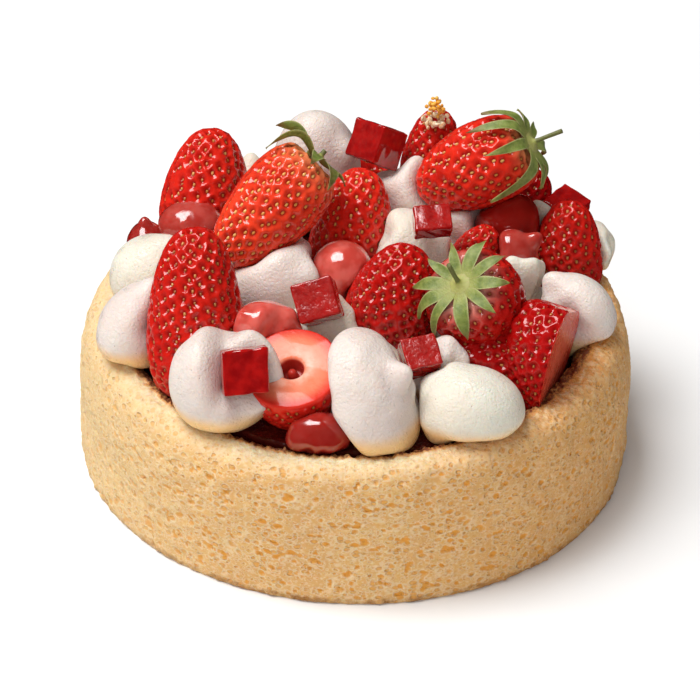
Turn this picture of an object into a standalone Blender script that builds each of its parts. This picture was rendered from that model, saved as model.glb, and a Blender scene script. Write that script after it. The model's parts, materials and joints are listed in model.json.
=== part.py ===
"""A strawberry fraisier: a ring of soft sponge whose recess is heaped with piped creams, strawberries,
jelly cubes and drops of berry gel.

The tables give lengths in millimetres, and MM turns them into Blender's metres. +Z is up, +X is to the
right of the front view, and the origin is the middle of the base. Directions in the tables are plain
world directions of any length. Every topping is a body seen from its own middle: where a neighbour
that was set down before it is in the way, its surface is drawn in, as soft food gives way.
"""
import math

import bmesh
import bpy
from mathutils import Matrix, Vector
from mathutils.bvhtree import BVHTree

MM = 0.001
GAP = 0.3                 # clearance kept between two pieces that touch

CAKE_DIAMETER = 160.0     # a 16 cm ring tin
CAKE_HEIGHT = 46.6        # crest of the rim above the table
RIM_DIAMETER = 141.0      # circle along the crest of the rim
WAIST_HEIGHT = 14.3       # where the wall is widest
LOW_SIDE_DROP = 5.2       # how much lower the crest is at the front left
LOW_SIDE_TURN = 2.44      # where it is lowest, in radians from +X, clockwise
BASE_DIAMETER = 159.0
RECESS_DIAMETER = 128.0   # inside the rim
RECESS_FLOOR = 33.0       # height of the recess floor above the table
FILLING_TOP = 40.0        # height of the compote that the toppings stand on
SHOULDER_POWER = 3.4      # squareness of the rim's outer shoulder
FOOT_POWER = 3.0          # squareness of the bottom edge

SPONGE_STEPS = 48
LARGE_BERRY_STEPS = (14, 10)     # faces round and along a strawberry
SMALL_BERRY_STEPS = (12, 8)
SMALL_BERRY_WIDTH = 20.5
LARGE_CREAM_STEPS = (14, 11)     # faces round and along a cream
SMALL_CREAM_STEPS = (11, 8)
SMALL_CREAM_REACH = 12.2
GEL_STEPS = (12, 9)
BLOSSOM_STEPS = (16, 11)
BERRY_TAPER = 0.18        # how much narrower a strawberry is near its tip
BERRY_POWER = 0.75        # bluntness of a strawberry's ends, 1 for an ellipse
LEAF_THICKNESS = 0.8
CUBE_SIDE = 13.0
CUBE_EDGE = 1.0           # rounding of a jelly cube's edges
MOST_NUDGES = 400         # steps that clear the last crossings between two pieces

UP = Vector((0.0, 0.0, 1.0))

COLOURS = {               # base colour, roughness
    "sponge": ((0.80, 0.56, 0.27), 0.85),
    "compote": ((0.16, 0.01, 0.01), 0.35),
    "ivory_cream": ((0.90, 0.87, 0.78), 0.45),
    "pink_cream": ((0.83, 0.70, 0.69), 0.45),
    "strawberry": ((0.66, 0.02, 0.02), 0.25),
    "leaf": ((0.32, 0.38, 0.13), 0.60),
    "jelly": ((0.36, 0.02, 0.03), 0.20),
    "gel": ((0.45, 0.04, 0.04), 0.12),
    "blossom": ((0.90, 0.62, 0.22), 0.60),
}

# Jelly cubes: name, middle, direction that the top face looks in, turn about it in degrees, sides as shares.
CUBES = (
    ("jelly_cube_front_left", (-30.0, -58.0, 62.4), (0.10, -0.84, 0.50), 4, (0.97, 0.95, 0.80)),
    ("jelly_cube_middle", (-11.0, -27.5, 65.5), (-0.15, -0.75, 0.64), 24, (0.90, 0.86, 0.80)),
    ("jelly_cube_front_right", (17.6, -46.0, 60.5), (0.10, -0.55, 0.83), 8, (0.76, 0.72, 0.74)),
    ("jelly_cube_right", (20.8, 4.5, 73.0), (0.05, -0.40, 0.91), 3, (0.84, 0.66, 0.42)),
    ("jelly_cube_back", (4.3, 41.0, 76.5), (-0.62, -0.55, 0.56), 10, (0.92, 0.90, 0.90)),
    ("jelly_cube_back_right", (61.0, 36.5, 59.0), (0.10, -0.30, 0.95), 32, (0.84, 0.80, 0.60)),
)

# Strawberries: name, middle, direction from tip to calyx, length, width.
WHOLE_BERRIES = (
    ("strawberry_top_left", (-25.4, 6.5, 74.2), (0.66, 0.43, 0.62), 41.8, 23.6),
    ("strawberry_top_right", (33.8, 28.0, 77.8), (0.83, -0.12, 0.54), 38.0, 24.6),
    ("strawberry_front_right", (34.7, -22.0, 63.0), (-0.43, -0.51, 0.75), 31.0, 26.4),
)
HULLED_BERRIES = (
    ("strawberry_left", (-45.0, -28.5, 59.5), (0.04, -0.42, -0.90), 50.0, 26.5),
    ("strawberry_left_back", (-46.0, 35.5, 58.5), (-0.08, -0.30, -0.95), 44.0, 26.0),
    ("strawberry_middle_back", (-2.0, 21.0, 58.0), (-0.15, -0.25, -0.95), 38.0, 23.5),
    ("strawberry_middle", (10.5, -13.0, 56.2), (-0.20, -0.05, -0.97), 36.0, 26.0),
    ("strawberry_back", (20.8, 48.0, 68.0), (-0.12, -0.15, -0.98), 31.0, 17.0),
    ("strawberry_right_back", (61.2, 20.0, 53.8), (0.02, -0.10, -0.99), 34.0, 20.0),
    ("strawberry_low_right", (38.5, -31.0, 50.0), (-0.90, 0.25, 0.15), 32.0, 20.0),
    ("strawberry_small", (33.5, 10.0, 57.0), (-0.30, 0.20, -0.93), 26.0, 14.0),
    ("strawberry_dark_back", (48.0, 42.0, 54.5), (-0.40, -0.20, -0.85), 27.0, 17.0),
    ("strawberry_behind", (0.0, 60.5, 50.0), (-0.95, 0.10, 0.15), 28.0, 19.0),
)
HALF_BERRY = ("strawberry_half", (56.0, -33.0, 52.6), (0.26, 0.45, 0.85), 33.0, 31.0)
HALF_BERRY_CUT = (0.93, -0.34, -0.10)      # the cut face looks to the right

# The strawberry cut across, with the hollow of its core in the cut face.
CUT_BERRY_NAME = "strawberry_cut_across"
CUT_BERRY_PLACE = (-17.5, -50.0, 58.5)
CUT_BERRY_LOOKS = (-0.10, -0.32, 0.94)
CUT_BERRY_RADIUS = 13.6
CUT_BERRY_DEPTH = 20.0
CORE_RADIUS = 3.4
CORE_DEPTH = 5.0

# Calyces: strawberry, stem length, stem lean, and a row for each sepal: the way it points in degrees round
# the berry, the polar angle that its tip reaches, its width and how high the tip lifts off the berry.
CALYCES = (
    ("strawberry_top_left", 3.4, (0.3, -0.2),
     ((48, 0.84, 4.2, 5.0), (74, 1.08, 4.4, 1.6), (132, 0.80, 3.6, 1.5), (172, 0.92, 4.0, 1.5),
      (222, 0.64, 3.6, 1.5), (275, 0.72, 3.6, 1.8), (330, 0.80, 3.8, 1.8))),
    ("strawberry_top_right", 10.0, (0.08, -0.08),
     ((10, 0.50, 3.4, 1.0), (50, 0.64, 3.8, 0.8), (86, 1.12, 4.4, 1.0), (112, 1.34, 4.0, 1.0),
      (150, 1.16, 3.6, 1.8), (202, 1.42, 4.4, 1.4), (234, 0.80, 3.6, 2.4), (266, 0.95, 4.0, 1.6),
      (318, 0.84, 4.0, 1.8))),
    ("strawberry_front_right", 7.5, (-0.25, 0.3),
     ((170, 0.62, 3.2, 3.0), (204, 1.00, 4.2, 3.0), (232, 1.12, 4.4, 2.0), (260, 1.10, 3.4, 1.4),
      (306, 0.98, 4.8, 1.4), (350, 0.78, 3.6, 2.2), (26, 0.80, 4.2, 2.4), (60, 0.80, 3.8, 3.0),
      (96, 0.84, 4.4, 2.4), (134, 0.62, 3.2, 3.0))),
)

# Drops of gel: name, middle, half sizes, direction of the long axis, bumps.
# A bump is a direction, a height, a sharpness and a curl of its tip.
GEL_DROPS = (
    ("gel_left_back", (-49.0, 19.0, 60.5), (10.0, 8.0, 7.0), UP, ()),
    ("gel_middle", (-4.5, -2.0, 58.5), (9.4, 9.0, 9.5), UP, (((0.6, -0.5, 0.6), 0.8, 6, (0, 0, 0)),)),
    ("gel_front_left", (-25.5, -33.5, 57.5), (12.0, 9.5, 10.5), UP,
     (((0.8, -0.6, 0.2), 2.0, 6, (0, 0, 0)),)),
    ("gel_front", (-9.5, -62.0, 44.5), (9.2, 6.8, 7.6), UP, (((0.1, -0.6, 0.8), 0.8, 20, (0, 0, 0)),)),
    ("gel_right_back", (43.5, 22.0, 62.0), (9.6, 8.5, 10.0), UP,
     (((0.0, -0.2, 1.0), 1.0, 14, (0, 0, 0)),)),
    ("gel_right", (43.5, 6.5, 59.0), (8.6, 8.0, 10.0), UP, (((0.7, 0.0, 0.7), 4.0, 26, (0.8, 0, 0)),)),
    ("gel_far_left", (-62.5, 22.5, 51.0), (6.0, 6.5, 6.5), UP, (((-0.1, 0.1, 1.0), 2.5, 22, (0, 0, 0)),)),
)

# Piped creams: name, kind, middle, half sizes, direction of the long axis, bumps.
# The first bump is the tip that the nozzle leaves.
CREAMS = (
    ("cream_front_middle", "pink_cream", (4.0, -55.5, 52.8), (14.6, 12.0, 20.0), (-0.34, 0.50, 0.80),
     (((0.60, -0.36, 0.70), 4.2, 42, (2.2, 0, 0.6)), ((-1.0, -0.2, 0.0), -2.2, 9, (0, 0, 0)),
      ((0.9, -0.4, 0.0), -1.2, 9, (0, 0, 0)))),
    ("cream_front_right", "ivory_cream", (32.0, -54.5, 48.6), (15.4, 12.5, 13.0), (0.0, 0.2, 1.0),
     (((-0.60, 0.45, 0.66), 3.6, 16, (-1.0, 0, 0)),)),
    ("cream_left", "pink_cream", (-60.0, -20.0, 49.6), (11.4, 15.0, 14.0), (0.1, 0.1, 1.0),
     (((0.2, 0.1, 1.0), 2.5, 18, (0, 0, 0)),)),
    ("cream_left_back", "ivory_cream", (-59.5, 4.0, 50.5), (13.0, 12.0, 13.5), (0.1, 0.1, 1.0),
     (((0.4, 0.0, 0.9), 2.0, 16, (0, 0, 0)),)),
    ("cream_right", "ivory_cream", (48.0, -5.0, 51.5), (12.5, 12.5, 15.0), (0.0, 0.1, 1.0),
     (((-0.5, 0.2, 0.8), 2.0, 16, (0, 0, 0)),)),
    ("cream_far_right", "pink_cream", (62.5, -9.5, 51.0), (9.5, 13.0, 13.0), (-0.35, 0.2, 0.9),
     (((-0.55, 0.1, 0.8), 2.8, 22, (0, 0, 0)),)),
    ("cream_right_back", "ivory_cream", (68.6, 28.6, 50.2), (6.6, 10.2, 9.0), (0.0, 0.0, 1.0),
     (((0.45, -0.80, 0.30), 3.4, 20, (0, 0, 0)),)),
    ("cream_middle_left", "pink_cream", (-24.0, -2.0, 54.5), (14.5, 14.0, 16.0), (0.3, 0.1, 1.0),
     (((0.75, -0.55, 0.40), 3.0, 18, (0, 0, 0)),)),
    ("cream_middle", "ivory_cream", (-9.0, -20.0, 49.5), (12.5, 12.0, 11.5), (0.0, 0.0, 1.0),
     (((0.1, 0.0, 1.0), 2.5, 16, (0, 0, 0)),)),
    ("cream_middle_right", "ivory_cream", (13.5, 14.0, 54.0), (13.5, 13.0, 15.0), (0.0, 0.1, 1.0),
     (((0.93, -0.30, 0.20), 5.0, 14, (0, 0, 0)),)),
    ("cream_back", "pink_cream", (14.5, 35.0, 58.0), (12.5, 12.0, 17.0), (0.0, 0.1, 1.0),
     (((0.35, -0.10, 0.93), 4.0, 34, (2.0, 0, 0)),)),
    ("cream_back_left", "pink_cream", (-13.5, 53.0, 59.0), (13.6, 13.0, 20.0), (0.0, 0.0, 1.0),
     (((0.75, -0.45, 0.55), 3.0, 50, (0, 0, 0)),)),
    ("cream_inner_right", "pink_cream", (31.0, 27.0, 55.0), (11.0, 11.0, 16.0), (0.0, 0.0, 1.0),
     (((0.5, -0.5, 0.5), 2.0, 14, (0, 0, 0)),)),
    ("cream_outer_right", "ivory_cream", (53.0, 32.0, 51.0), (10.0, 10.0, 12.0), (0.0, 0.0, 1.0),
     (((0.2, -0.1, 1.0), 2.0, 18, (0, 0, 0)),)),
    ("cream_rear_left", "ivory_cream", (-34.5, 53.0, 49.0), (11.0, 11.0, 10.5), (0.0, 0.0, 1.0),
     (((0.1, 0.3, 1.0), 3.0, 26, (0, 1.2, 0)),)),
    ("cream_rear_middle", "pink_cream", (22.5, 57.5, 49.0), (10.5, 9.5, 10.5), (0.0, 0.0, 1.0),
     (((-0.2, 0.4, 1.0), 3.0, 26, (1.2, 0, 0)),)),
    ("cream_rear_right", "ivory_cream", (41.5, 51.5, 48.5), (11.0, 10.0, 10.0), (0.0, 0.0, 1.0),
     (((0.2, 0.3, 1.0), 3.0, 26, (-1.2, 0, 0)),)),
    ("cream_front_inner", "pink_cream", (24.5, -38.5, 49.5), (11.0, 9.5, 11.0), (0.0, 0.0, 1.0),
     (((0.1, 0.1, 1.0), 1.5, 16, (0, 0, 0)),)),
    ("cream_inner_left", "pink_cream", (-28.5, 26.5, 50.0), (12.0, 11.5, 12.0), (0.0, 0.0, 1.0),
     (((0.2, 0.3, 1.0), 2.0, 16, (0, 0, 0)),)),
    ("cream_inner_front", "ivory_cream", (3.5, -33.0, 47.5), (10.5, 8.5, 9.0), (0.0, 0.0, 1.0),
     (((0.2, -0.1, 1.0), 1.5, 16, (0, 0, 0)),)),
    ("cream_inner_middle", "pink_cream", (27.0, -9.0, 48.5), (9.0, 10.0, 10.0), (0.0, 0.0, 1.0),
     (((0.1, 0.2, 1.0), 1.5, 16, (0, 0, 0)),)),
    ("cream_outer_left", "pink_cream", (-41.5, -6.0, 48.5), (9.5, 10.0, 10.0), (0.0, 0.0, 1.0),
     (((0.1, 0.1, 1.0), 1.5, 16, (0, 0, 0)),)),
)

# This cream lies over the cut face of a strawberry, and is set down before it.
FRONT_CREAM = ("cream_front_left", "pink_cream", (-36.8, -50.5, 53.2), (14.6, 13.6, 15.2), (0.0, 0.1, 1.0),
               (((0.94, -0.25, 0.10), 3.4, 8, (0, 0, 0)), ((0.70, 0.1, 0.70), 2.6, 9, (0, 0, 0))))

BLOSSOM_PLACE = (21.0, 44.5, 85.5)
BLOSSOM_SIZE = (4.6, 4.2, 4.6)
BLOSSOM_PETALS = 7


def clear_scene():
    """Remove whatever the open file holds."""
    for thing in list(bpy.data.objects):
        bpy.data.objects.remove(thing, do_unlink=True)


def new_collection(name):
    """A collection of this name in the scene."""
    group = bpy.data.collections.new(name)
    bpy.context.scene.collection.children.link(group)
    return group


def new_material(kind):
    """A Principled material of one of the cake's kinds."""
    colour, roughness = COLOURS[kind]
    material = bpy.data.materials.new(kind)
    material.use_nodes = True
    shader = material.node_tree.nodes["Principled BSDF"]
    shader.inputs["Base Color"].default_value = (*colour, 1.0)
    shader.inputs["Roughness"].default_value = roughness
    shader.inputs["Metallic"].default_value = 0.0
    return material


def facing(direction, turn=0.0):
    """The rotation that takes +Z to the direction, after a turn in degrees about +Z."""
    aimed = Vector(direction).to_track_quat("Z", "Y").to_matrix()
    return aimed @ Matrix.Rotation(math.radians(turn), 3, "Z")


def ripple(direction, seed):
    """A smooth uneven value from -1 to 1 over the directions around a body."""
    x, y, z = direction
    waves = math.sin(3.1 * x + 1.3 * seed) + math.sin(3.7 * y + 2.1 * seed) + math.sin(3.3 * z + 2.9 * seed)
    return waves / 3.0


def link_mesh(name, shape, kind, place=(0.0, 0.0, 0.0), turn=None):
    """Make an object from a bmesh in millimetres, standing at a place in millimetres."""
    shape.normal_update()
    bmesh.ops.recalc_face_normals(shape, faces=shape.faces)
    if kind != "jelly":
        bmesh.ops.triangulate(shape, faces=shape.faces)
    shape.transform(Matrix.Scale(MM, 4))
    mesh = bpy.data.meshes.new(name)
    shape.to_mesh(mesh)
    shape.free()
    mesh.shade_smooth()
    mesh.materials.append(MATERIALS[kind])
    piece = bpy.data.objects.new(name, mesh)
    matrix = (turn or Matrix.Identity(3)).to_4x4()
    matrix.translation = Vector(place) * MM
    piece.matrix_world = matrix
    CAKE.objects.link(piece)
    return piece


def bake_modifiers(piece):
    """Replace the piece's mesh by its evaluated one, in triangles, and drop the modifiers."""
    bpy.context.view_layer.update()
    evaluated = piece.evaluated_get(bpy.context.evaluated_depsgraph_get())
    mesh = bpy.data.meshes.new_from_object(evaluated)
    shape = bmesh.new()
    shape.from_mesh(mesh)
    bmesh.ops.triangulate(shape, faces=shape.faces)
    shape.to_mesh(mesh)
    shape.free()
    mesh.shade_smooth()
    piece.modifiers.clear()
    piece.data = mesh


def turned(name, profile, steps, kind, place=(0.0, 0.0, 0.0), turn=None):
    """A solid of revolution: a profile of (radius, height) points turned about Z by a Screw modifier."""
    shape = bmesh.new()
    points = [shape.verts.new((radius, 0.0, height)) for radius, height in profile]
    for first, second in zip(points, points[1:]):
        shape.edges.new((first, second))
    piece = link_mesh(name, shape, kind, place, turn)
    screw = piece.modifiers.new("turn", "SCREW")
    screw.steps = steps
    screw.render_steps = steps
    screw.use_merge_vertices = True
    screw.merge_threshold = 0.00001
    bake_modifiers(piece)
    return piece


def guard(piece):
    """The piece's surface moved out by the gap, as a search tree in world space."""
    bpy.context.view_layer.update()
    evaluated = piece.evaluated_get(bpy.context.evaluated_depsgraph_get())
    shape = bmesh.new()
    shape.from_mesh(evaluated.to_mesh())
    evaluated.to_mesh_clear()
    bmesh.ops.triangulate(shape, faces=shape.faces)
    shape.normal_update()
    moved = [point.co + point.normal * (point.calc_shell_factor() * GAP * MM) for point in shape.verts]
    for point, place in zip(shape.verts, moved):
        point.co = place
    shape.transform(piece.matrix_world)
    tree = BVHTree.FromBMesh(shape)
    shape.free()
    return tree


def settle(piece):
    """Draw the piece's surface in towards its middle until it clears every piece set down before it."""
    bpy.context.view_layer.update()
    matrix = piece.matrix_world.copy()
    middle = matrix.translation
    for point in piece.data.vertices:
        reach = matrix @ point.co - middle
        free = reach.length
        for tree in SET_DOWN:
            hit = tree.ray_cast(middle, reach.normalized(), free)
            if hit[0] is not None:
                free = min(free, hit[3])
        point.co *= free / reach.length
    for _ in range(MOST_NUDGES):
        shape = bmesh.new()
        shape.from_mesh(piece.data)
        bmesh.ops.triangulate(shape, faces=shape.faces)
        shape.transform(matrix)
        shape.faces.ensure_lookup_table()
        tree = BVHTree.FromBMesh(shape)
        crossing = {face for other in SET_DOWN for face, _ in tree.overlap(other)}
        touched = {max(shape.faces[face].verts, key=lambda point: (point.co - middle).length).index
                   for face in crossing}
        shape.free()
        if not touched:
            break
        for index in touched:
            point = piece.data.vertices[index]
            point.co *= 1.0 - 0.25 * MM / max(point.co.length, MM)
    SET_DOWN.append(guard(piece))
    return piece


def uneven_ring(piece):
    """Let the sponge's wall and crest wander a little, with the flat base and the recess left true."""
    rim = RIM_DIAMETER / 2 * MM
    outer = CAKE_DIAMETER / 2 * MM
    for point in piece.data.vertices:
        radius = math.hypot(point.co.x, point.co.y)
        angle = math.atan2(point.co.y, point.co.x)
        height = min(point.co.z / (WAIST_HEIGHT * MM), 1.0)
        side = min(max((radius - rim) / (outer - rim), 0.0), 1.0) * height
        swell = 0.55 * math.cos(2 * angle + 0.6) + 0.4 * math.cos(4 * angle + 1.9)
        swell += 0.3 * math.cos(6 * angle)
        crest = 0.7 * math.cos(3 * angle + 1.1) + 0.4 * math.cos(5 * angle + 0.4)
        top = max(point.co.z / (CAKE_HEIGHT * MM) - 0.85, 0.0) / 0.15
        drop = LOW_SIDE_DROP * (0.5 + 0.5 * math.cos(angle + LOW_SIDE_TURN)) ** 1.7
        upper = max((point.co.z / MM - WAIST_HEIGHT) / (CAKE_HEIGHT - WAIST_HEIGHT), 0.0)
        if radius > MM:
            point.co.x *= 1.0 + side * (swell - 1.0) * MM / radius
            point.co.y *= 1.0 + side * (swell - 1.0) * MM / radius
        if radius > (RECESS_DIAMETER / 2 + 0.2) * MM:
            point.co.z += (top * crest - upper * drop) * MM


def sponge_ring():
    """The sponge: a straight wall with a soft square shoulder, round a shallow recess."""
    outer = CAKE_DIAMETER / 2 + 1.0
    rim = RIM_DIAMETER / 2
    base = BASE_DIAMETER / 2
    recess = RECESS_DIAMETER / 2
    profile = [(0.0, RECESS_FLOOR), (recess * 0.5, RECESS_FLOOR), (recess, RECESS_FLOOR)]
    profile += [(recess + 0.4, FILLING_TOP), (recess + 2.6, CAKE_HEIGHT - 1.8)]
    for step in range(9):
        turn = math.pi / 2 * (1.0 - step / 8)
        radius = rim + (outer - rim) * math.cos(turn) ** (2 / SHOULDER_POWER) if step else rim
        height = WAIST_HEIGHT + (CAKE_HEIGHT - WAIST_HEIGHT) * math.sin(turn) ** (2 / SHOULDER_POWER)
        profile.append((radius, height))
    for step in range(1, 5):
        turn = math.pi / 2 * (1.0 - step / 4)
        radius = base + (outer - base) * math.sin(turn) ** (2 / FOOT_POWER) if step < 4 else base
        profile.append((radius, WAIST_HEIGHT * (1.0 - math.cos(turn) ** (2 / FOOT_POWER))))
    profile += [(base * 0.5, 0.0), (0.0, 0.0)]
    piece = turned("sponge", profile, SPONGE_STEPS, "sponge")
    uneven_ring(piece)
    SET_DOWN.append(guard(piece))


def compote_disc():
    """The compote in the recess, with a slightly wavy top."""
    recess = RECESS_DIAMETER / 2 - GAP
    floor = RECESS_FLOOR + GAP
    profile = [(0.0, FILLING_TOP), (recess * 0.45, FILLING_TOP), (recess * 0.9, FILLING_TOP)]
    profile += [(recess - 0.2, FILLING_TOP - 0.8), (recess - 0.2, floor), (0.0, floor)]
    piece = turned("filling", profile, 32, "compote")
    for point in piece.data.vertices:
        if point.co.z > (FILLING_TOP - 0.1) * MM:
            angle = math.atan2(point.co.y, point.co.x)
            point.co.z += 0.4 * MM * math.cos(5 * angle + 90.0 * point.co.length)
    SET_DOWN.append(guard(piece))


def jelly_cube(name, middle, looks, turn, shares, seed):
    """A jelly cube with softened edges, cut a little out of true."""
    shape = bmesh.new()
    bmesh.ops.create_cube(shape, size=CUBE_SIDE)
    bmesh.ops.scale(shape, vec=shares, verts=shape.verts)
    for point in shape.verts:
        point.co.xy *= 1.0 + 0.05 * math.sin(seed) * point.co.z / CUBE_SIDE
        point.co.x += 0.06 * math.cos(2.0 * seed) * point.co.y
    piece = link_mesh(name, shape, "jelly", middle, facing(looks, turn))
    bevel = piece.modifiers.new("edge", "BEVEL")
    bevel.width = CUBE_EDGE * MM
    bevel.segments = 1
    SET_DOWN.append(guard(piece))


def berry_point(polar, around, length, width):
    """A point of a strawberry's skin, polar measured from the calyx end, which is +Z."""
    radius = width / 2 * math.sin(polar) ** BERRY_POWER * (1.0 + BERRY_TAPER * math.cos(polar))
    height = length / 2 * (math.cos(polar) - 0.16 * math.exp(-((polar / 0.4) ** 2)))
    return Vector((radius * math.cos(around), radius * math.sin(around), height))


def berry_shape(length, width, seed):
    """A closed strawberry as a bmesh, its shoulders round and its tip narrow."""
    shape = bmesh.new()
    around, along = LARGE_BERRY_STEPS if width > SMALL_BERRY_WIDTH else SMALL_BERRY_STEPS
    bmesh.ops.create_uvsphere(shape, u_segments=around, v_segments=along, radius=1.0)
    for point in shape.verts:
        polar = math.acos(max(-1.0, min(1.0, point.co.z)))
        around = math.atan2(point.co.y, point.co.x)
        swell = 1.0 + 0.035 * ripple(point.co, seed)
        point.co = berry_point(polar, around, length, width) * swell
    return shape


def half_berry(name, middle, axis, length, width, seed):
    """A strawberry cut along its axis, seen from the middle of what is left."""
    shape = berry_shape(length, width, seed)
    turn = facing(axis)
    looks = turn.inverted() @ Vector(HALF_BERRY_CUT).normalized()
    parts = shape.verts[:] + shape.edges[:] + shape.faces[:]
    cut = bmesh.ops.bisect_plane(shape, geom=parts, plane_co=looks, plane_no=looks, clear_outer=True)
    rim = [item for item in cut["geom_cut"] if isinstance(item, bmesh.types.BMEdge)]
    bmesh.ops.triangle_fill(shape, edges=rim, use_beauty=True, use_dissolve=False)
    shift = looks * (-width / 5)
    bmesh.ops.translate(shape, verts=shape.verts, vec=-shift)
    place = Vector(middle) + turn @ shift
    return link_mesh(name, shape, "strawberry", place, turn)


def berry_cut_across():
    """The wide end of a strawberry cut across, its face hollowed where the core was."""
    radius = CUT_BERRY_RADIUS
    profile = [(0.0, -CORE_DEPTH), (CORE_RADIUS * 0.7, -CORE_DEPTH + 0.8), (CORE_RADIUS, -0.6)]
    profile += [(CORE_RADIUS + 0.9, 0.0), (radius * 0.6, 0.2), (radius - 0.7, 0.0)]
    for step in range(8):
        turn = math.pi / 2 * step / 7
        side = radius * math.cos(turn) ** 0.7 if step < 7 else 0.0
        profile.append((side, -0.6 - (CUT_BERRY_DEPTH - 0.6) * math.sin(turn)))
    # The mesh hangs on a point half way down, so that its middle is in the flesh.
    half = CUT_BERRY_DEPTH / 2
    profile = [(side, height + half) for side, height in profile]
    turn = facing(CUT_BERRY_LOOKS)
    place = Vector(CUT_BERRY_PLACE) - turn @ Vector((0.0, 0.0, half))
    piece = turned(CUT_BERRY_NAME, profile, 16, "strawberry", place, turn)
    for point in piece.data.vertices:
        point.co *= 1.0 + 0.03 * ripple(point.co.normalized(), 5)
    return piece


def calyx(berry, stem_length, lean, sepals):
    """Pointed green sepals that lie on the strawberry's shoulder, with the stem on their middle."""
    name, middle, axis, length, width = berry
    start = 0.22
    thickness = LEAF_THICKNESS
    sheet = bmesh.new()
    along, across = 4, 2
    angles = sorted(angle for angle, *_ in sepals)
    for angle, reach, broad, lift in sepals:
        place = angles.index(angle)
        before = angles[place - 1] - (360 if place == 0 else 0)
        after = angles[(place + 1) % len(angles)] + (360 if place == len(angles) - 1 else 0)
        edges = [math.radians(turn) for turn in ((before + angle) / 2, angle, (angle + after) / 2)]
        grid = bmesh.ops.create_grid(sheet, x_segments=across, y_segments=along, size=1.0)["verts"]
        for point in grid:
            side = point.co.x
            part = (point.co.y + 1.0) / 2
            polar = start + (reach - start) * part
            belly = math.sin(math.pi * (0.30 + 0.70 * part)) ** 0.8 if part < 1 else 0.0
            skin = berry_point(polar, 0.0, length * 1.035, width * 1.035)
            turn = math.radians(angle) + side * broad / 2 * belly / max(skin.x, 2.0)
            if part == 0.0:
                turn = edges[round(side) + 1]
            off = GAP + thickness + 0.5 + lift * part ** 2 + 0.5 * abs(side) * math.sin(math.pi * part)
            normal = Vector((math.sin(polar), 0.0, math.cos(polar)))
            place = Vector((skin.x, 0.0, skin.z)) + normal * off
            point.co = Matrix.Rotation(turn, 3, "Z") @ place
    bmesh.ops.remove_doubles(sheet, verts=sheet.verts, dist=0.02)
    bmesh.ops.dissolve_degenerate(sheet, edges=sheet.edges, dist=0.02)
    hub = min(point.co.xy.length for point in sheet.verts)
    ring = [edge for edge in sheet.edges if all(point.co.xy.length < hub + 0.05 for point in edge.verts)]
    bmesh.ops.contextual_create(sheet, geom=ring)
    bmesh.ops.triangulate(sheet, faces=sheet.faces)
    piece = link_mesh("calyx_" + name.removeprefix("strawberry_"), sheet, "leaf", middle, facing(axis))
    thick = piece.modifiers.new("thickness", "SOLIDIFY")
    thick.thickness = thickness * MM
    thick.offset = -1.0
    stem = bmesh.new()
    bmesh.ops.create_cone(stem, cap_ends=True, segments=8, radius1=1.1, radius2=0.7, depth=stem_length)
    top = berry_point(start, 0.0, length * 1.035, width * 1.035).z
    for point in stem.verts:
        rise = point.co.z + stem_length / 2
        point.co.x += lean[0] * rise
        point.co.y += lean[1] * rise
        point.co.z = rise + top + 0.9
    stalk = link_mesh("stalk", stem, "leaf", middle, facing(axis))
    join = piece.modifiers.new("stem", "BOOLEAN")
    join.operation = "UNION"
    join.object = stalk
    bake_modifiers(piece)
    bpy.data.objects.remove(stalk, do_unlink=True)
    SET_DOWN.append(guard(piece))


def soft_body(name, kind, middle, radii, long_axis, bumps, seed, steps):
    """A piped or dropped body: an ellipsoid, uneven by a little, with bumps pulled out of it.

    The finest rings of the ball stand round the first bump, so that its tip comes out pointed.
    """
    stretch = facing(long_axis)
    squash = stretch @ Matrix.Diagonal(Vector(radii)) @ stretch.transposed()
    pole = facing(bumps[0][0]) if bumps else stretch
    shape = bmesh.new()
    bmesh.ops.create_uvsphere(shape, u_segments=steps[0], v_segments=steps[1], radius=1.0)
    for point in shape.verts:
        polar = math.acos(max(-1.0, min(1.0, point.co.z)))
        around = math.atan2(point.co.y, point.co.x)
        polar = math.pi * (polar / math.pi) ** 1.25
        side = math.sin(polar)
        direction = pole @ Vector((side * math.cos(around), side * math.sin(around), math.cos(polar)))
        body = squash @ direction * (1.0 + 0.04 * ripple(direction, seed))
        for towards, height, sharpness, curl in bumps:
            aim = Vector(towards).normalized()
            weight = math.exp(sharpness * (direction.dot(aim) - 1.0))
            body += aim * (height * weight) + Vector(curl) * weight ** 2
        point.co = body
    return link_mesh(name, shape, kind, middle)


def cream(name, kind, middle, radii, long_axis, bumps, seed):
    """A piped cream, with fewer faces where it is small."""
    steps = LARGE_CREAM_STEPS if max(radii) > SMALL_CREAM_REACH else SMALL_CREAM_STEPS
    settle(soft_body(name, kind, middle, radii, long_axis, bumps, seed, steps))


def blossom():
    """The small flower on the rear strawberry: a clump of stamens over a ring of short petals."""
    petals = []
    for number in range(BLOSSOM_PETALS):
        turn = math.tau * number / BLOSSOM_PETALS + 0.3 * math.sin(5.0 * number)
        height = 2.6 + 0.9 * math.sin(2.7 * number)
        petals.append(((math.cos(turn), math.sin(turn), -0.35), height, 18, (0, 0, 0)))
    crown = (((0.05, 0.0, 1.0), 1.6, 6, (0, 0, 0)),)
    return soft_body("blossom", "blossom", BLOSSOM_PLACE, BLOSSOM_SIZE, UP, crown + tuple(petals), 3,
                     BLOSSOM_STEPS)


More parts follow.
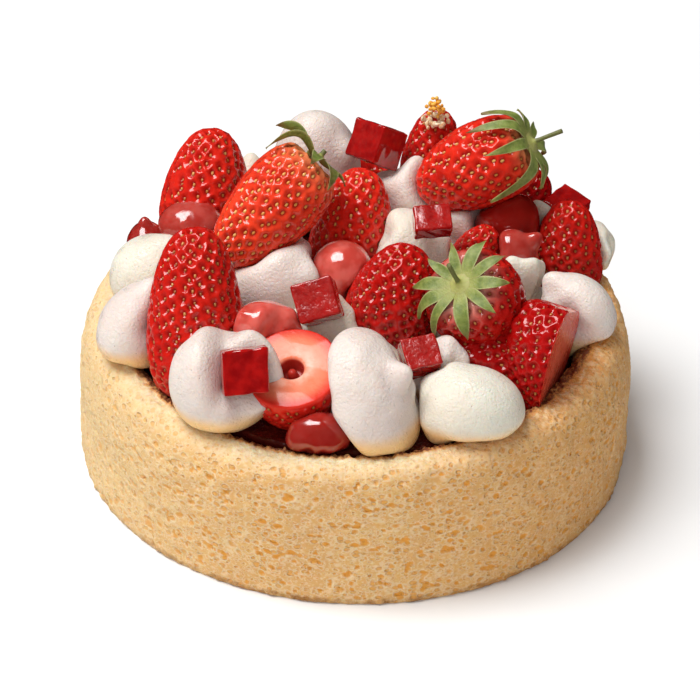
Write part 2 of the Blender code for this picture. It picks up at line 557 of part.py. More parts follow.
def build():
    """Set the pieces down, firm ones first, so that the creams close round them."""
    sponge_ring()
    compote_disc()
    for seed, cube in enumerate(CUBES):
        jelly_cube(*cube, seed)
    for seed, (name, middle, axis, length, width) in enumerate(WHOLE_BERRIES):
        settle(link_mesh(name, berry_shape(length, width, seed), "strawberry", middle, facing(axis)))
    whole = {berry[0]: berry for berry in WHOLE_BERRIES}
    for name, *sizes in CALYCES:
        calyx(whole[name], *sizes)
    cream(*FRONT_CREAM, 60)
    settle(berry_cut_across())
    settle(half_berry(*HALF_BERRY, 9))
    for seed, (name, middle, axis, length, width) in enumerate(HULLED_BERRIES):
        settle(link_mesh(name, berry_shape(length, width, seed + 4), "strawberry", middle, facing(axis)))
    settle(blossom())
    for seed, (name, *sizes) in enumerate(GEL_DROPS):
        settle(soft_body(name, "gel", *sizes, seed + 20, GEL_STEPS))
    for seed, sizes in enumerate(CREAMS):
        cream(*sizes, seed + 40)


clear_scene()
CAKE = new_collection("fraisier")
MATERIALS = {kind: new_material(kind) for kind in COLOURS}
SET_DOWN = []
build()
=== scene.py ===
# %% [markdown]
# # A strawberry fraisier
# A soft ring sponge with a straight wall, its recess heaped with piped creams, strawberries, jelly cubes and
# drops of berry gel. The frame holds one plain solid for each of them, and this script dresses every one:
# it never moves them. Each cell says what the thing is on the real cake, and how its surface is worked out.

# %% Load the frame
import json
import math

import bpy
import numpy as np
from mathutils import Matrix, Vector


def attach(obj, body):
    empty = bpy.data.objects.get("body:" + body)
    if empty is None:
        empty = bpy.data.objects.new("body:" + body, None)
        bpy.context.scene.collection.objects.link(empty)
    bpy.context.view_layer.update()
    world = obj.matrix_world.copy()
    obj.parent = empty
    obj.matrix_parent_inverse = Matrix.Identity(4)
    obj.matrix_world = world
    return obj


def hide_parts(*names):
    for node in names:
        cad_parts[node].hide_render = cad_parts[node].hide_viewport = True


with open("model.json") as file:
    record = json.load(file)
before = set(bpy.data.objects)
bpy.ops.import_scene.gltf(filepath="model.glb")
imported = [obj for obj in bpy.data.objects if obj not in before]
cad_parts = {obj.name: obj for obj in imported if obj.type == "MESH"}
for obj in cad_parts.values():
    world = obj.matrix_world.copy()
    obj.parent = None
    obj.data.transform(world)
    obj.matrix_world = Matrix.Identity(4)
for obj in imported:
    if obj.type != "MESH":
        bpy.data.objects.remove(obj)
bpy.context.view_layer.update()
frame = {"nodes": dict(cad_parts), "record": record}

MM = 0.001
print("solids to dress:", len(frame["nodes"]))

# %% [markdown]
# ## From arrays to meshes
# Every surface below is an array of points, in millimetres, with rows that run down the piece and columns
# that close round it. A blown-up ball is such a grid, and so is a ring. One function turns a grid into a
# closed shape by adding a fan of triangles at each end, and another joins shapes, so that a strawberry and
# its seeds can be one piece with two finishes.

# %% Shapes made of arrays
def unit(vectors):
    """Vectors divided by their length."""
    return vectors / np.maximum(np.linalg.norm(vectors, axis=-1, keepdims=True), 1e-12)


def full_turn(count):
    """Equal angles once round."""
    return 2 * math.pi * np.arange(count) / count


def polar_points(radius, turn, height):
    """Points from radius, angle and height, each an array or one number."""
    return np.stack(np.broadcast_arrays(radius * np.cos(turn), radius * np.sin(turn), height), axis=-1)


def turned_by(degrees):
    """The turn about +Z by an angle in degrees, as an array."""
    cosine, sine = math.cos(math.radians(degrees)), math.sin(math.radians(degrees))
    return np.array([[cosine, -sine, 0], [sine, cosine, 0], [0, 0, 1]])


def closed_grid(grid, slot=0, **values):
    """A closed shape from a grid whose columns close round: quads between the rows, a fan at each end."""
    rows, columns = grid.shape[:2]
    row, column = np.meshgrid(np.arange(rows - 1), np.arange(columns), indexing="ij")
    here = (row * columns + column).ravel()
    beside = (row * columns + (column + 1) % columns).ravel()
    quads = np.stack([here, here + columns, beside + columns, beside], axis=1)
    ring = np.arange(columns)
    after = (ring + 1) % columns
    last = (rows - 1) * columns
    top = rows * columns
    fans = np.concatenate([np.stack([np.full(columns, top), ring, after], axis=1),
                           np.stack([np.full(columns, top + 1), last + after, last + ring], axis=1)])
    points = np.concatenate([grid.reshape(-1, 3), grid[:1].mean(axis=1), grid[-1:].mean(axis=1)])
    numbers = {name: np.concatenate([value.ravel(), [value[0].mean(), value[-1].mean()]])
               for name, value in values.items()}
    return {"points": points, "quads": quads, "fans": fans, "values": numbers,
            "slots": np.full(len(quads) + len(fans), slot)}


def joined(*shapes):
    """Several shapes as one: their points one after another, and their faces counted on from there."""
    starts = np.cumsum([0] + [len(shape["points"]) for shape in shapes[:-1]])
    quads = np.concatenate([shape["quads"] + start for shape, start in zip(shapes, starts)])
    fans = np.concatenate([shape["fans"] + start for shape, start in zip(shapes, starts)])
    slots = np.concatenate([shape["slots"][:len(shape["quads"])] for shape in shapes]
                           + [shape["slots"][len(shape["quads"]):] for shape in shapes])
    values = {name: np.concatenate([shape["values"][name] for shape in shapes])
              for name in shapes[0]["values"]}
    points = np.concatenate([shape["points"] for shape in shapes])
    return {"points": points, "quads": quads, "fans": fans, "values": values, "slots": slots}


def to_mesh(name, shape):
    """The shape's arrays written into a new mesh, from millimetres to metres."""
    mesh = bpy.data.meshes.new(name)
    mesh.vertices.add(len(shape["points"]))
    mesh.vertices.foreach_set("co", (shape["points"] * MM).astype(np.float32).ravel())
    corners = np.concatenate([shape["quads"].ravel(), shape["fans"].ravel()])
    sizes = np.concatenate([np.full(len(shape["quads"]), 4), np.full(len(shape["fans"]), 3)])
    mesh.loops.add(len(corners))
    mesh.loops.foreach_set("vertex_index", corners.astype(np.int32))
    mesh.polygons.add(len(sizes))
    mesh.polygons.foreach_set("loop_start", np.concatenate([[0], np.cumsum(sizes)[:-1]]).astype(np.int32))
    mesh.polygons.foreach_set("material_index", shape["slots"].astype(np.int32))
    for key, numbers in shape["values"].items():
        mesh.attributes.new(key, "FLOAT", "POINT").data.foreach_set("value", numbers.astype(np.float32))
    mesh.update(calc_edges=True)
    mesh.shade_smooth()
    return mesh


def add_piece(name, shape, materials, nodes):
    """Stand a finished piece in the scene: it rides on the cake and stands for the solids it replaces."""
    mesh = to_mesh(name, shape)
    for material in materials:
        mesh.materials.append(material)
    piece = bpy.data.objects.new(name, mesh)
    bpy.context.scene.collection.objects.link(piece)
    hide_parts(*nodes)
    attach(piece, "root")
    print(f"{name}: {len(mesh.polygons)} faces")


# %% [markdown]
# ## Patterns for the finishes
# A finish is a Principled shader whose colour and bump come from small networks of pattern nodes. The same
# few steps come back in all of them: noise, cells, a ramp from one colour to another, a bump. Each gets a
# short helper, so that a finish below reads like a recipe.

# %% Helpers for node materials
def new_material(name, **sockets):
    """A Principled material: uniform values go straight on the shader's own sockets."""
    material = bpy.data.materials.new(name)
    material.use_nodes = True
    shader = material.node_tree.nodes["Principled BSDF"]
    for socket, value in sockets.items():
        shader.inputs[socket.replace("_", " ")].default_value = value
    return material, material.node_tree, shader


def wire(tree, shader, **sockets):
    """Link each pattern to the shader's socket of this name."""
    for socket, value in sockets.items():
        tree.links.new(value, shader.inputs[socket.replace("_", " ")])


def add(tree, kind, inputs, **settings):
    """A node with its inputs set: a socket is linked, and anything else is a plain value."""
    made = tree.nodes.new("ShaderNode" + kind)
    for key, value in settings.items():
        setattr(made, key, value)
    for key, value in inputs.items():
        if isinstance(value, bpy.types.NodeSocket):
            tree.links.new(value, made.inputs[key])
        else:
            made.inputs[key].default_value = value
    return made


def coordinates(tree, stretch=(1.0, 1.0, 1.0)):
    """Object coordinates in millimetres, stretched along the axes."""
    place = add(tree, "TexCoord", {})
    scale = tuple(1000.0 * part for part in stretch)
    return add(tree, "Mapping", {"Vector": place.outputs["Object"], "Scale": scale}).outputs[0]


def noise(tree, place, size, detail=3.0, roughness=0.5):
    """Soft noise whose lumps are about this many millimetres across, from 0 to 1."""
    inputs = {"Vector": place, "Scale": 1.0 / size, "Detail": detail, "Roughness": roughness}
    return add(tree, "TexNoise", inputs).outputs[0]


def cells(tree, place, size):
    """Distance to the nearest cell point, for cells of about this many millimetres."""
    return add(tree, "TexVoronoi", {"Vector": place, "Scale": 1.0 / size}).outputs["Distance"]


def remap(tree, value, low, high, start=0.0, end=1.0):
    """Ease a value from start to end as it goes from low to high."""
    inputs = {0: value, 1: low, 2: high, 3: start, 4: end}
    return add(tree, "MapRange", inputs, interpolation_type="SMOOTHSTEP").outputs[0]


def mix(tree, factor, first, second):
    """A colour between two, by a factor from 0 to 1."""
    inputs = {0: factor, 6: first if isinstance(first, bpy.types.NodeSocket) else (*first, 1.0),
              7: second if isinstance(second, bpy.types.NodeSocket) else (*second, 1.0)}
    return add(tree, "Mix", inputs, data_type="RGBA").outputs[2]


def layered(tree, colour, *layers):
    """A colour with others laid over it in turn: each layer is a factor and the colour that it brings."""
    for factor, brought in layers:
        colour = mix(tree, factor, colour, brought)
    return colour


def calculate(tree, operation, first, second):
    """One sum on two values."""
    return add(tree, "Math", {0: first, 1: second}, operation=operation).outputs[0]


def times(tree, first, second):
    """Two values multiplied."""
    return calculate(tree, "MULTIPLY", first, second)


def attribute(tree, name):
    """The number that the piece's mesh carries at each point under this name."""
    return add(tree, "Attribute", {}, attribute_name=name).outputs["Fac"]


def bump(tree, height, strength, distance, below=None):
    """A normal tilted by the slope of a height, whose full range is distance millimetres. Below is the normal
    of a coarser or finer bump that this one lies over."""
    inputs = {"Height": height, "Strength": strength, "Distance": distance * MM}
    if below is not None:
        inputs["Normal"] = below
    return add(tree, "Bump", inputs).outputs[0]


# %% [markdown]
# ## The sponge
# The ring was baked against a smooth tin and then turned out, so its wall shows cut crumb: a pale web with
# golden pores, flatter than they are wide, because the batter settled. The rim is finer and paler, partly as
# painted light: the lit top is pale and the wall a deeper orange for its warm shade. The wall's profile is a
# power curve, square at the shoulder. The large pores are real dents in a fine grid, the small ones a
# pattern, because a pore under a millimetre would need millions of faces.

# %% The sponge's profile
CAKE_DIAMETER = 160.0
CAKE_HEIGHT = 46.6
RIM_DIAMETER = 141.0
WAIST_HEIGHT = 14.3
BASE_DIAMETER = 159.0
RECESS_DIAMETER = 128.0
RECESS_FLOOR = 33.0
FILLING_TOP = 40.0
SHOULDER_POWER = 3.4
FOOT_POWER = 3.0
LOW_SIDE_DROP = 5.2        # the crest is lower at the front left
LOW_SIDE_TURN = 2.44
SPONGE_PITCH = 0.63        # millimetres between neighbouring points of the crumb


def sponge_profile():
    """Radius and height from the foot of the recess wall over the rim and down to the base, evenly spaced."""
    outer, rim = CAKE_DIAMETER / 2 + 1.0, RIM_DIAMETER / 2
    base, recess = BASE_DIAMETER / 2, RECESS_DIAMETER / 2
    turn = np.linspace(math.pi / 2, 0.0, 300)
    rise = CAKE_HEIGHT - WAIST_HEIGHT
    shoulder = np.stack([rim + (outer - rim) * np.cos(turn) ** (2 / SHOULDER_POWER),
                         WAIST_HEIGHT + rise * np.sin(turn) ** (2 / SHOULDER_POWER)], axis=1)
    foot = np.stack([base + (outer - base) * np.sin(turn) ** (2 / FOOT_POWER),
                     WAIST_HEIGHT * (1.0 - np.cos(turn) ** (2 / FOOT_POWER))], axis=1)
    inside = np.array([(recess, RECESS_FLOOR + 0.3), (recess + 0.4, FILLING_TOP),
                       (recess + 1.2, CAKE_HEIGHT - 3.4), (recess + 2.9, CAKE_HEIGHT - 1.3),
                       (recess + 4.6, CAKE_HEIGHT - 0.3)])
    line = np.concatenate([inside, shoulder, foot[1:]])
    along = np.concatenate([[0.0], np.cumsum(np.linalg.norm(np.diff(line, axis=0), axis=1))])
    even = np.linspace(0.0, along[-1], int(along[-1] / SPONGE_PITCH))
    return np.stack([np.interp(even, along, line[:, 0]), np.interp(even, along, line[:, 1])], axis=1), even


PROFILE, ARC = sponge_profile()
print(f"wall from recess to base: {ARC[-1]:.1f} mm in {len(ARC)} rows")

# %% Uneven fields on the crumb
random = np.random.default_rng(16)
AROUND = int(2 * math.pi * CAKE_DIAMETER / 2 / SPONGE_PITCH)


def blurred_noise(rows, columns, size):
    """Random heights smoothed over a few millimetres, scaled to a spread of 1: white noise times a soft
    bell in the frequency plane."""
    spread = size / SPONGE_PITCH
    rate = np.fft.fftfreq(rows)[:, None] ** 2 + np.fft.fftfreq(columns)[None, :] ** 2
    white = np.fft.fft2(random.standard_normal((rows, columns)))
    field = np.fft.ifft2(white * np.exp(-rate * (2.2 * spread) ** 2)).real
    return field / field.std()


def press_pores(field, count, width, height, low, high):
    """Press soft ellipses into a field that closes round, keeping the deeper value: 1 in a pore's middle,
    falling to 0 at its edge. Width and height are (least, most) in millimetres, low and high are heights."""
    rows, columns = field.shape
    level = PROFILE[:, 1]
    outside = np.flatnonzero((level > low) & (level < high) & (PROFILE[:, 0] > RIM_DIAMETER / 2 + 1.0))
    for _ in range(count):
        row = random.choice(outside) + random.uniform(-0.5, 0.5)
        column = random.uniform(0, columns)
        across = random.uniform(*width) / 2 / SPONGE_PITCH
        down = random.uniform(*height) / 2 / SPONGE_PITCH
        tilt = random.normal(0.0, 0.35)
        span = int(max(across, down)) + 2
        near_rows = np.arange(max(int(row) - span, 0), min(int(row) + span + 1, rows))
        near_columns = np.arange(int(column) - span, int(column) + span + 1)
        y = near_rows[:, None] - row
        x = near_columns[None, :] - column
        u = (x * math.cos(tilt) + y * math.sin(tilt)) / across
        v = (y * math.cos(tilt) - x * math.sin(tilt)) / down
        dent = np.clip(1.25 - (u * u + v * v), 0.0, 1.0)
        spot = np.ix_(near_rows, near_columns % columns)
        field[spot] = np.maximum(field[spot], dent * random.uniform(0.55, 1.0))


pore = np.zeros((len(ARC), AROUND))
press_pores(pore, 560, (1.9, 3.3), (1.3, 2.1), 1.5, 40.0)
press_pores(pore, 900, (1.3, 2.0), (1.1, 1.5), 1.5, 44.0)
print(f"pores cover {100 * (pore > 0.2).mean():.0f}% of the crumb")

# %% The sponge's surface
def sponge_shape():
    """The profile turned round the middle, let in and out a little as the tin and the oven leave it, then
    moved along its own normal: grain outwards, pores inwards."""
    angle = full_turn(AROUND)
    radius = np.repeat(PROFILE[:, :1], AROUND, axis=1)
    level = np.repeat(PROFILE[:, 1:], AROUND, axis=1)
    rim, outer = RIM_DIAMETER / 2, CAKE_DIAMETER / 2
    side = np.clip((radius - rim) / (outer - rim), 0, 1) * np.minimum(level / WAIST_HEIGHT, 1.0)
    swell = 0.55 * np.cos(2 * angle + 0.6) + 0.4 * np.cos(4 * angle + 1.9) + 0.3 * np.cos(6 * angle)
    crest = 0.7 * np.cos(3 * angle + 1.1) + 0.4 * np.cos(5 * angle + 0.4)
    top = np.maximum(level / CAKE_HEIGHT - 0.85, 0.0) / 0.15
    radius = radius + side * (swell - 1.0)
    drop = LOW_SIDE_DROP * (0.5 + 0.5 * np.cos(angle + LOW_SIDE_TURN)) ** 1.7
    upper = np.clip((level - WAIST_HEIGHT) / (CAKE_HEIGHT - WAIST_HEIGHT), 0, None)
    level = level + top * crest - upper * drop * np.clip((radius - RECESS_DIAMETER / 2) / 0.4, 0, 1)
    tangent = unit(np.gradient(PROFILE, axis=0))
    out, up = -tangent[:, 1:], tangent[:, :1]
    grain = blurred_noise(*pore.shape, 0.9)
    lumps = blurred_noise(*pore.shape, 3.2)
    inner = np.clip((rim - 0.6 + 1.6 * np.clip(np.cos(angle), 0, 1) - radius) / 2.8, 0, 1)
    lip = np.exp(-((radius - rim + 3.2) / 2.4) ** 2)
    foot = np.exp(-(level / 2.6) ** 2)
    flat = np.clip(level / 0.8, 0, 1)
    rimmed = np.clip((level - 0.86 * CAKE_HEIGHT) / (0.1 * CAKE_HEIGHT), 0, 1)
    move = 0.07 * grain + 0.13 * lumps - 0.50 * pore + (0.30 * lip + 0.10 * foot + 0.12 * rimmed) * grain
    move = move * flat
    radius = radius + move * out
    level = np.maximum(level + move * up, 0.0)
    grid = polar_points(radius, angle, level)
    rings = polar_points(1.0, angle, 0.0)
    hidden = [(0.5, RECESS_FLOOR), (0.97, RECESS_FLOOR)]
    floor = np.stack([rings * RECESS_DIAMETER / 2 * part + (0, 0, height) for part, height in hidden])
    base = np.stack([rings * BASE_DIAMETER / 2 * part for part in (0.97, 0.5)])

    def padded(value, fill=0.0):
        """The value with two more rows at each end, for the hidden floor and base."""
        hidden_rows = np.full((2, AROUND), fill)
        return np.concatenate([hidden_rows, value, hidden_rows])

    # Toasted crumb at the inner lip, which goes over into painted shade, near black, down the recess wall
    # behind the toppings.
    toast = np.clip(inner + 0.9 * lip * (grain > 0.1), 0, 1)
    crust = np.clip(foot * 0.9 + 0.25 * lumps * foot, 0, 1)
    crest_row = PROFILE[:, 1].argmax()
    wall = np.repeat(np.clip((ARC - ARC[crest_row])[:, None] / 9.0, 0, 1), AROUND, axis=1)
    return closed_grid(np.concatenate([floor, grid, base]), pore=padded(pore), toast=padded(toast, 1.0),
                       crust=padded(crust, 1.0), wall=padded(wall))


# %% [markdown]
# The crumb's colour runs from a pale butter web to golden orange in the pores, where the light has passed
# through sponge before it comes back. Three sizes of pore lie over each other: the pressed ones, which the
# mesh carries as a number, and two finer sets, one hole in each cell of a pattern, flattened like the large
# ones. A real pore is ringed by a paler lip, so each hole comes with a ring.

# %% The crumb's finish
def holes_with_rings(tree, place, size, least, most):
    """One round hole in each cell of this many millimetres, of its own radius, from least to most cells: a
    value of 1 in the hole, and a second value of 1 in the ring around it."""
    cell = add(tree, "TexVoronoi", {"Vector": place, "Scale": 1.0 / size})
    pick = add(tree, "SeparateColor", {"Color": cell.outputs["Color"]}).outputs[0]
    reach = calculate(tree, "DIVIDE", cell.outputs["Distance"], remap(tree, pick, 0.0, 1.0, least, most))
    hole = remap(tree, reach, 1.2, 0.6)
    return hole, calculate(tree, "SUBTRACT", remap(tree, reach, 2.1, 1.2), hole)


def crumb_material():
    """Pale web, golden pores at three sizes, a toasted inner lip that goes over into painted shade down the
    recess, painted warm shade on the right side and painted light on the left, and a darker foot.
    """
    material, tree, shader = new_material("sponge_crumb", Subsurface_Weight=0.30,
                                          Subsurface_Radius=(1.0, 0.50, 0.18), Subsurface_Scale=2.2 * MM)
    place = coordinates(tree, (1.0, 1.0, 1.45))
    still = coordinates(tree)
    wander = add(tree, "TexNoise", {"Vector": place, "Scale": 0.5, "Detail": 2.0})
    bent = wander.outputs["Color"]
    for operation, number in (("SUBTRACT", (0.5, 0.5, 0.5)), ("MULTIPLY", (1.1, 1.1, 1.1)), ("ADD", place)):
        bent = add(tree, "VectorMath", {0: bent, 1: number}, operation=operation).outputs[0]
    wall = attribute(tree, "wall")
    medium, medium_ring = holes_with_rings(tree, bent, 2.3, 0.08, 0.46)
    small, small_ring = holes_with_rings(tree, bent, 1.15, 0.08, 0.42)
    on_wall = remap(tree, wall, 0.0, 0.8, 0.25, 1.0)
    ring = calculate(tree, "MAXIMUM", medium_ring, small_ring)
    medium, small, ring = (times(tree, part, on_wall) for part in (medium, small, ring))
    pressed = attribute(tree, "pore")
    web = mix(tree, remap(tree, noise(tree, bent, 1.0, 4.0, 0.6), 0.35, 0.68),
              (0.74, 0.40, 0.12), (0.80, 0.53, 0.235))
    web = mix(tree, remap(tree, noise(tree, still, 9.0, 2.0), 0.35, 0.7), web, (0.72, 0.40, 0.14))
    rim = mix(tree, remap(tree, noise(tree, still, 1.0, 4.0, 0.65), 0.3, 0.7),
              (0.86, 0.64, 0.30), (0.95, 0.87, 0.64))
    lip = calculate(tree, "SUBTRACT", remap(tree, pressed, 0.0, 0.12), remap(tree, pressed, 0.14, 0.35))
    crust = times(tree, remap(tree, attribute(tree, "crust"), 0.3, 0.8),
                  remap(tree, noise(tree, still, 2.2, 3.0), 0.38, 0.58, 0.25, 0.9))
    # Painted light by side: the right side, away from the key, is painted a browner orange for its warm
    # shade, and the left side, which faces the key, is painted paler.
    across = add(tree, "SeparateXYZ", {0: still}).outputs[0]
    most_right_side_shade = calculate(tree, "SUBTRACT", 0.85, times(tree, wall, 0.47))
    right_side_shade = times(tree, remap(tree, across, 0.0, 75.0, 0.0, most_right_side_shade),
                    remap(tree, noise(tree, bent, 1.6, 3.0), 0.38, 0.62, 1.25, 0.6))
    toast = times(tree, attribute(tree, "toast"), remap(tree, noise(tree, still, 1.1), 0.3, 0.6, 0.6, 1.0))
    # The pale rim against the deeper orange wall is partly the crumb's own colour and partly painted light:
    # the top is lit and the wall carries painted warm shade.
    colour = layered(tree, mix(tree, wall, rim, web),
                     (times(tree, ring, 0.6), (0.85, 0.66, 0.42)),
                     (times(tree, small, 0.6), (0.74, 0.35, 0.08)),
                     (times(tree, medium, 0.66), (0.78, 0.345, 0.050)),
                     (times(tree, lip, 0.5), (0.87, 0.68, 0.44)),
                     (remap(tree, pressed, 0.15, 0.80, 0.0, 0.95), (0.80, 0.335, 0.040)),
                     (crust, (0.42, 0.19, 0.055)),
                     # painted warm shade on the right side
                     (right_side_shade, (0.70, 0.28, 0.045)),
                     # painted light on the left side
                     (remap(tree, across, -25.0, -80.0, 0.0, 0.45), (0.80, 0.62, 0.33)),
                     # the toasted lip
                     (remap(tree, toast, 0.0, 0.5, 0.0, 0.85), (0.74, 0.34, 0.09)),
                     # painted shade down the recess wall
                     (remap(tree, toast, 0.45, 1.0), (0.20, 0.05, 0.02)))
    dents = bump(tree, medium, 0.8, -0.45, bump(tree, small, 0.7, -0.24))
    crumbs = remap(tree, wall, 0.0, 0.8, 1.0, 0.30)
    wire(tree, shader, Base_Color=colour, Roughness=remap(tree, wall, 0.0, 0.7, 0.34, 0.85),
         Normal=bump(tree, noise(tree, still, 0.75, 5.0, 0.65), crumbs, 0.55, dents))
    return material


add_piece("sponge_ring", sponge_shape(), [crumb_material()], ["sponge"])

# %% [markdown]
# ## The compote
# Between the toppings the eye falls on a dark cooked compote. It is a disc with a lumpy wet top: a few sine
# waves over a polar grid.

# %% The compote
def compote_shape():
    """A disc on a polar grid, its top raised by waves of a few millimetres."""
    recess = RECESS_DIAMETER / 2 - 0.6
    turn = full_turn(240)
    foot = RECESS_FLOOR + 0.3
    radius = np.concatenate([np.linspace(0.5, recess - 0.2, 84), [recess, recess, recess * 0.5]])
    height = np.concatenate([np.full(84, FILLING_TOP), [FILLING_TOP - 0.9, foot, foot]])
    x = radius[:, None] * np.cos(turn)
    y = radius[:, None] * np.sin(turn)
    waves = np.sin(0.9 * x + 0.4 * y) + np.sin(0.8 * y - 0.5 * x + 1.0) + 0.6 * np.sin(1.9 * x - 1.3 * y)
    lift = 0.22 * waves * (height > FILLING_TOP - 0.5)[:, None]
    return closed_grid(np.stack([x, y, height[:, None] + lift], axis=-1))


def compote_material():
    """Near black red, wet, with the lumps of cooked fruit in the bump."""
    material, tree, shader = new_material("compote", Roughness=0.22, Coat_Weight=0.6, Coat_Roughness=0.1)
    place = coordinates(tree)
    colour = mix(tree, noise(tree, place, 2.5), (0.030, 0.003, 0.002), (0.16, 0.012, 0.008))
    wire(tree, shader, Base_Color=colour, Normal=bump(tree, noise(tree, place, 1.4, 4.0), 0.8, 0.8))
    return material


add_piece("compote", compote_shape(), [compote_material()], ["filling"])

# %% [markdown]
# ## The creams
# A piped cream is a soft ball with one tip where the nozzle left it, pressed flat where it meets a
# neighbour. The plain solids already have those places, but with a hundred or so corners each. A smooth
# skin is laid through the corners: the radius in every direction is a sum of soft bells, one on each
# corner, whose heights are solved so that the skin passes through all of them.

# %% A smooth skin through a solid's corners
def ball_directions(rows, columns, pole=(0.0, 0.0, 1.0)):
    """Unit directions over a ball, in rows from the pole down and columns round it, without the two poles."""
    polar = math.pi * (np.arange(rows) + 1) / (rows + 1)
    flat = polar_points(np.sin(polar)[:, None], full_turn(columns), np.cos(polar)[:, None])
    return flat @ np.array(Vector(pole).to_track_quat("Z", "Y").to_matrix()).T


def corners_of(node):
    """A plain solid's corners, each once, and the middle of its volume, in millimetres."""
    mesh = frame["nodes"][node].data
    points = np.empty(len(mesh.vertices) * 3)
    mesh.vertices.foreach_get("co", points)
    points = points.reshape(-1, 3) / MM
    mesh.calc_loop_triangles()
    faces = np.empty(len(mesh.loop_triangles) * 3, dtype=np.int32)
    mesh.loop_triangles.foreach_get("vertices", faces)
    a, b, c = np.moveaxis(points[faces.reshape(-1, 3)], 1, 0)
    volume = np.einsum("ij,ij->i", a, np.cross(b, c))
    middle = ((a + b + c) / 4 * volume[:, None]).sum(axis=0) / volume.sum()
    return np.unique(points.round(3), axis=0), middle


TIGHTNESS = 16.0           # how narrow each bell is
CALM = 0.03                # keeps the heights of neighbouring bells from fighting


def skin_through(node, rows, columns):
    """A smooth closed grid through the solid's corners. In direction d the radius is the mean radius plus the
    sum over the corners c of height(c) * exp(tightness * (d . c - 1))."""
    corners, middle = corners_of(node)
    reach = np.linalg.norm(corners - middle, axis=1)
    towards = unit(corners - middle)
    bells = np.exp(TIGHTNESS * (towards @ towards.T - 1.0))
    heights = np.linalg.solve(bells + CALM * np.eye(len(bells)), reach - reach.mean())
    directions = ball_directions(rows, columns)
    radius = reach.mean() + np.exp(TIGHTNESS * (directions @ towards.T - 1.0)) @ heights
    return middle + directions * radius[..., None]


# %% The creams' finish
def cream_material(name, pale, deep, blush):
    """Whipped cream: matt and finely pored, wet in patches, with light under the skin and a drift between two
    tints. Its foot is painted with a warm orange glow, the light that the sponge throws up into it."""
    material, tree, shader = new_material(name, Subsurface_Weight=0.55,
                                          Subsurface_Radius=(1.0, 0.70, 0.50), Subsurface_Scale=3.2 * MM)
    place = coordinates(tree)
    speck = remap(tree, cells(tree, place, 3.6), 0.060, 0.040)
    colour = layered(tree, mix(tree, remap(tree, noise(tree, place, 14.0, 2.0), 0.38, 0.62), pale, deep),
                     (remap(tree, noise(tree, place, 4.0, 3.0), 0.52, 0.75, 0.0, 0.45), blush),
                     # painted light: a warm glow from the sponge at the cream's foot
                     (remap(tree, attribute(tree, "low"), 0.0, 1.0, 0.0, 0.9), (0.95, 0.60, 0.25)),
                     (times(tree, speck, 0.6), (0.30, 0.20, 0.17)))
    wet = remap(tree, noise(tree, place, 6.0, 2.0), 0.46, 0.62)
    pores = bump(tree, remap(tree, cells(tree, place, 0.9), 0.45, 0.10), 0.5, -0.15)
    grain = bump(tree, noise(tree, place, 0.8, 3.0, 0.5), 0.8, 0.42, pores)
    wire(tree, shader, Base_Color=colour, Roughness=remap(tree, wet, 0.0, 1.0, 0.46, 0.22),
         Normal=bump(tree, noise(tree, place, 3.6, 3.0, 0.5), 0.45, 0.7, grain))
    return material


PINK_CREAM = cream_material("pink_cream", (0.81, 0.72, 0.655), (0.76, 0.65, 0.59), (0.80, 0.63, 0.56))
IVORY_CREAM = cream_material("ivory_cream", (0.82, 0.78, 0.665), (0.80, 0.73, 0.61), (0.80, 0.70, 0.61))

# %% The creams
CREAM_DETAIL = (84, 112)


def dress_creams():
    """One skin for each cream solid, in the finish that the record gives its node."""
    slots = {row["node"]: row["material_slot"] for row in frame["record"]["subparts"]}
    for node in sorted(name for name in frame["nodes"] if name.startswith("cream_")):
        grid = skin_through(node, *CREAM_DETAIL)
        # How near each point is to the sponge, for the painted warm glow of light thrown up from the crumb.
        low = np.clip((CAKE_HEIGHT + 4.4 - grid[..., 2]) / 5.0, 0, 1)
        material = PINK_CREAM if slots[node] == "pink_cream" else IVORY_CREAM
        add_piece(node + "_skin", closed_grid(grid, low=low), [material], [node])


dress_creams()

# %% [markdown]
# ## The strawberries
# A strawberry is a taper with blunt ends. Its seeds sit in pits, and the flesh bulges between them, which is
# what makes the net of highlights. The seeds are laid by the golden angle, a seed every few millimetres, so
# that they stand in two sets of spirals as on the real fruit. For each point of the skin the nearest seed is
# found with one table of distances, and the skin goes down by a bell of that distance.

# %% The strawberry's form
BERRY_TAPER = 0.18
BERRY_POWER = 0.75
CALYX_DIP = 0.16
GOLDEN_ANGLE = math.pi * (3.0 - math.sqrt(5.0))

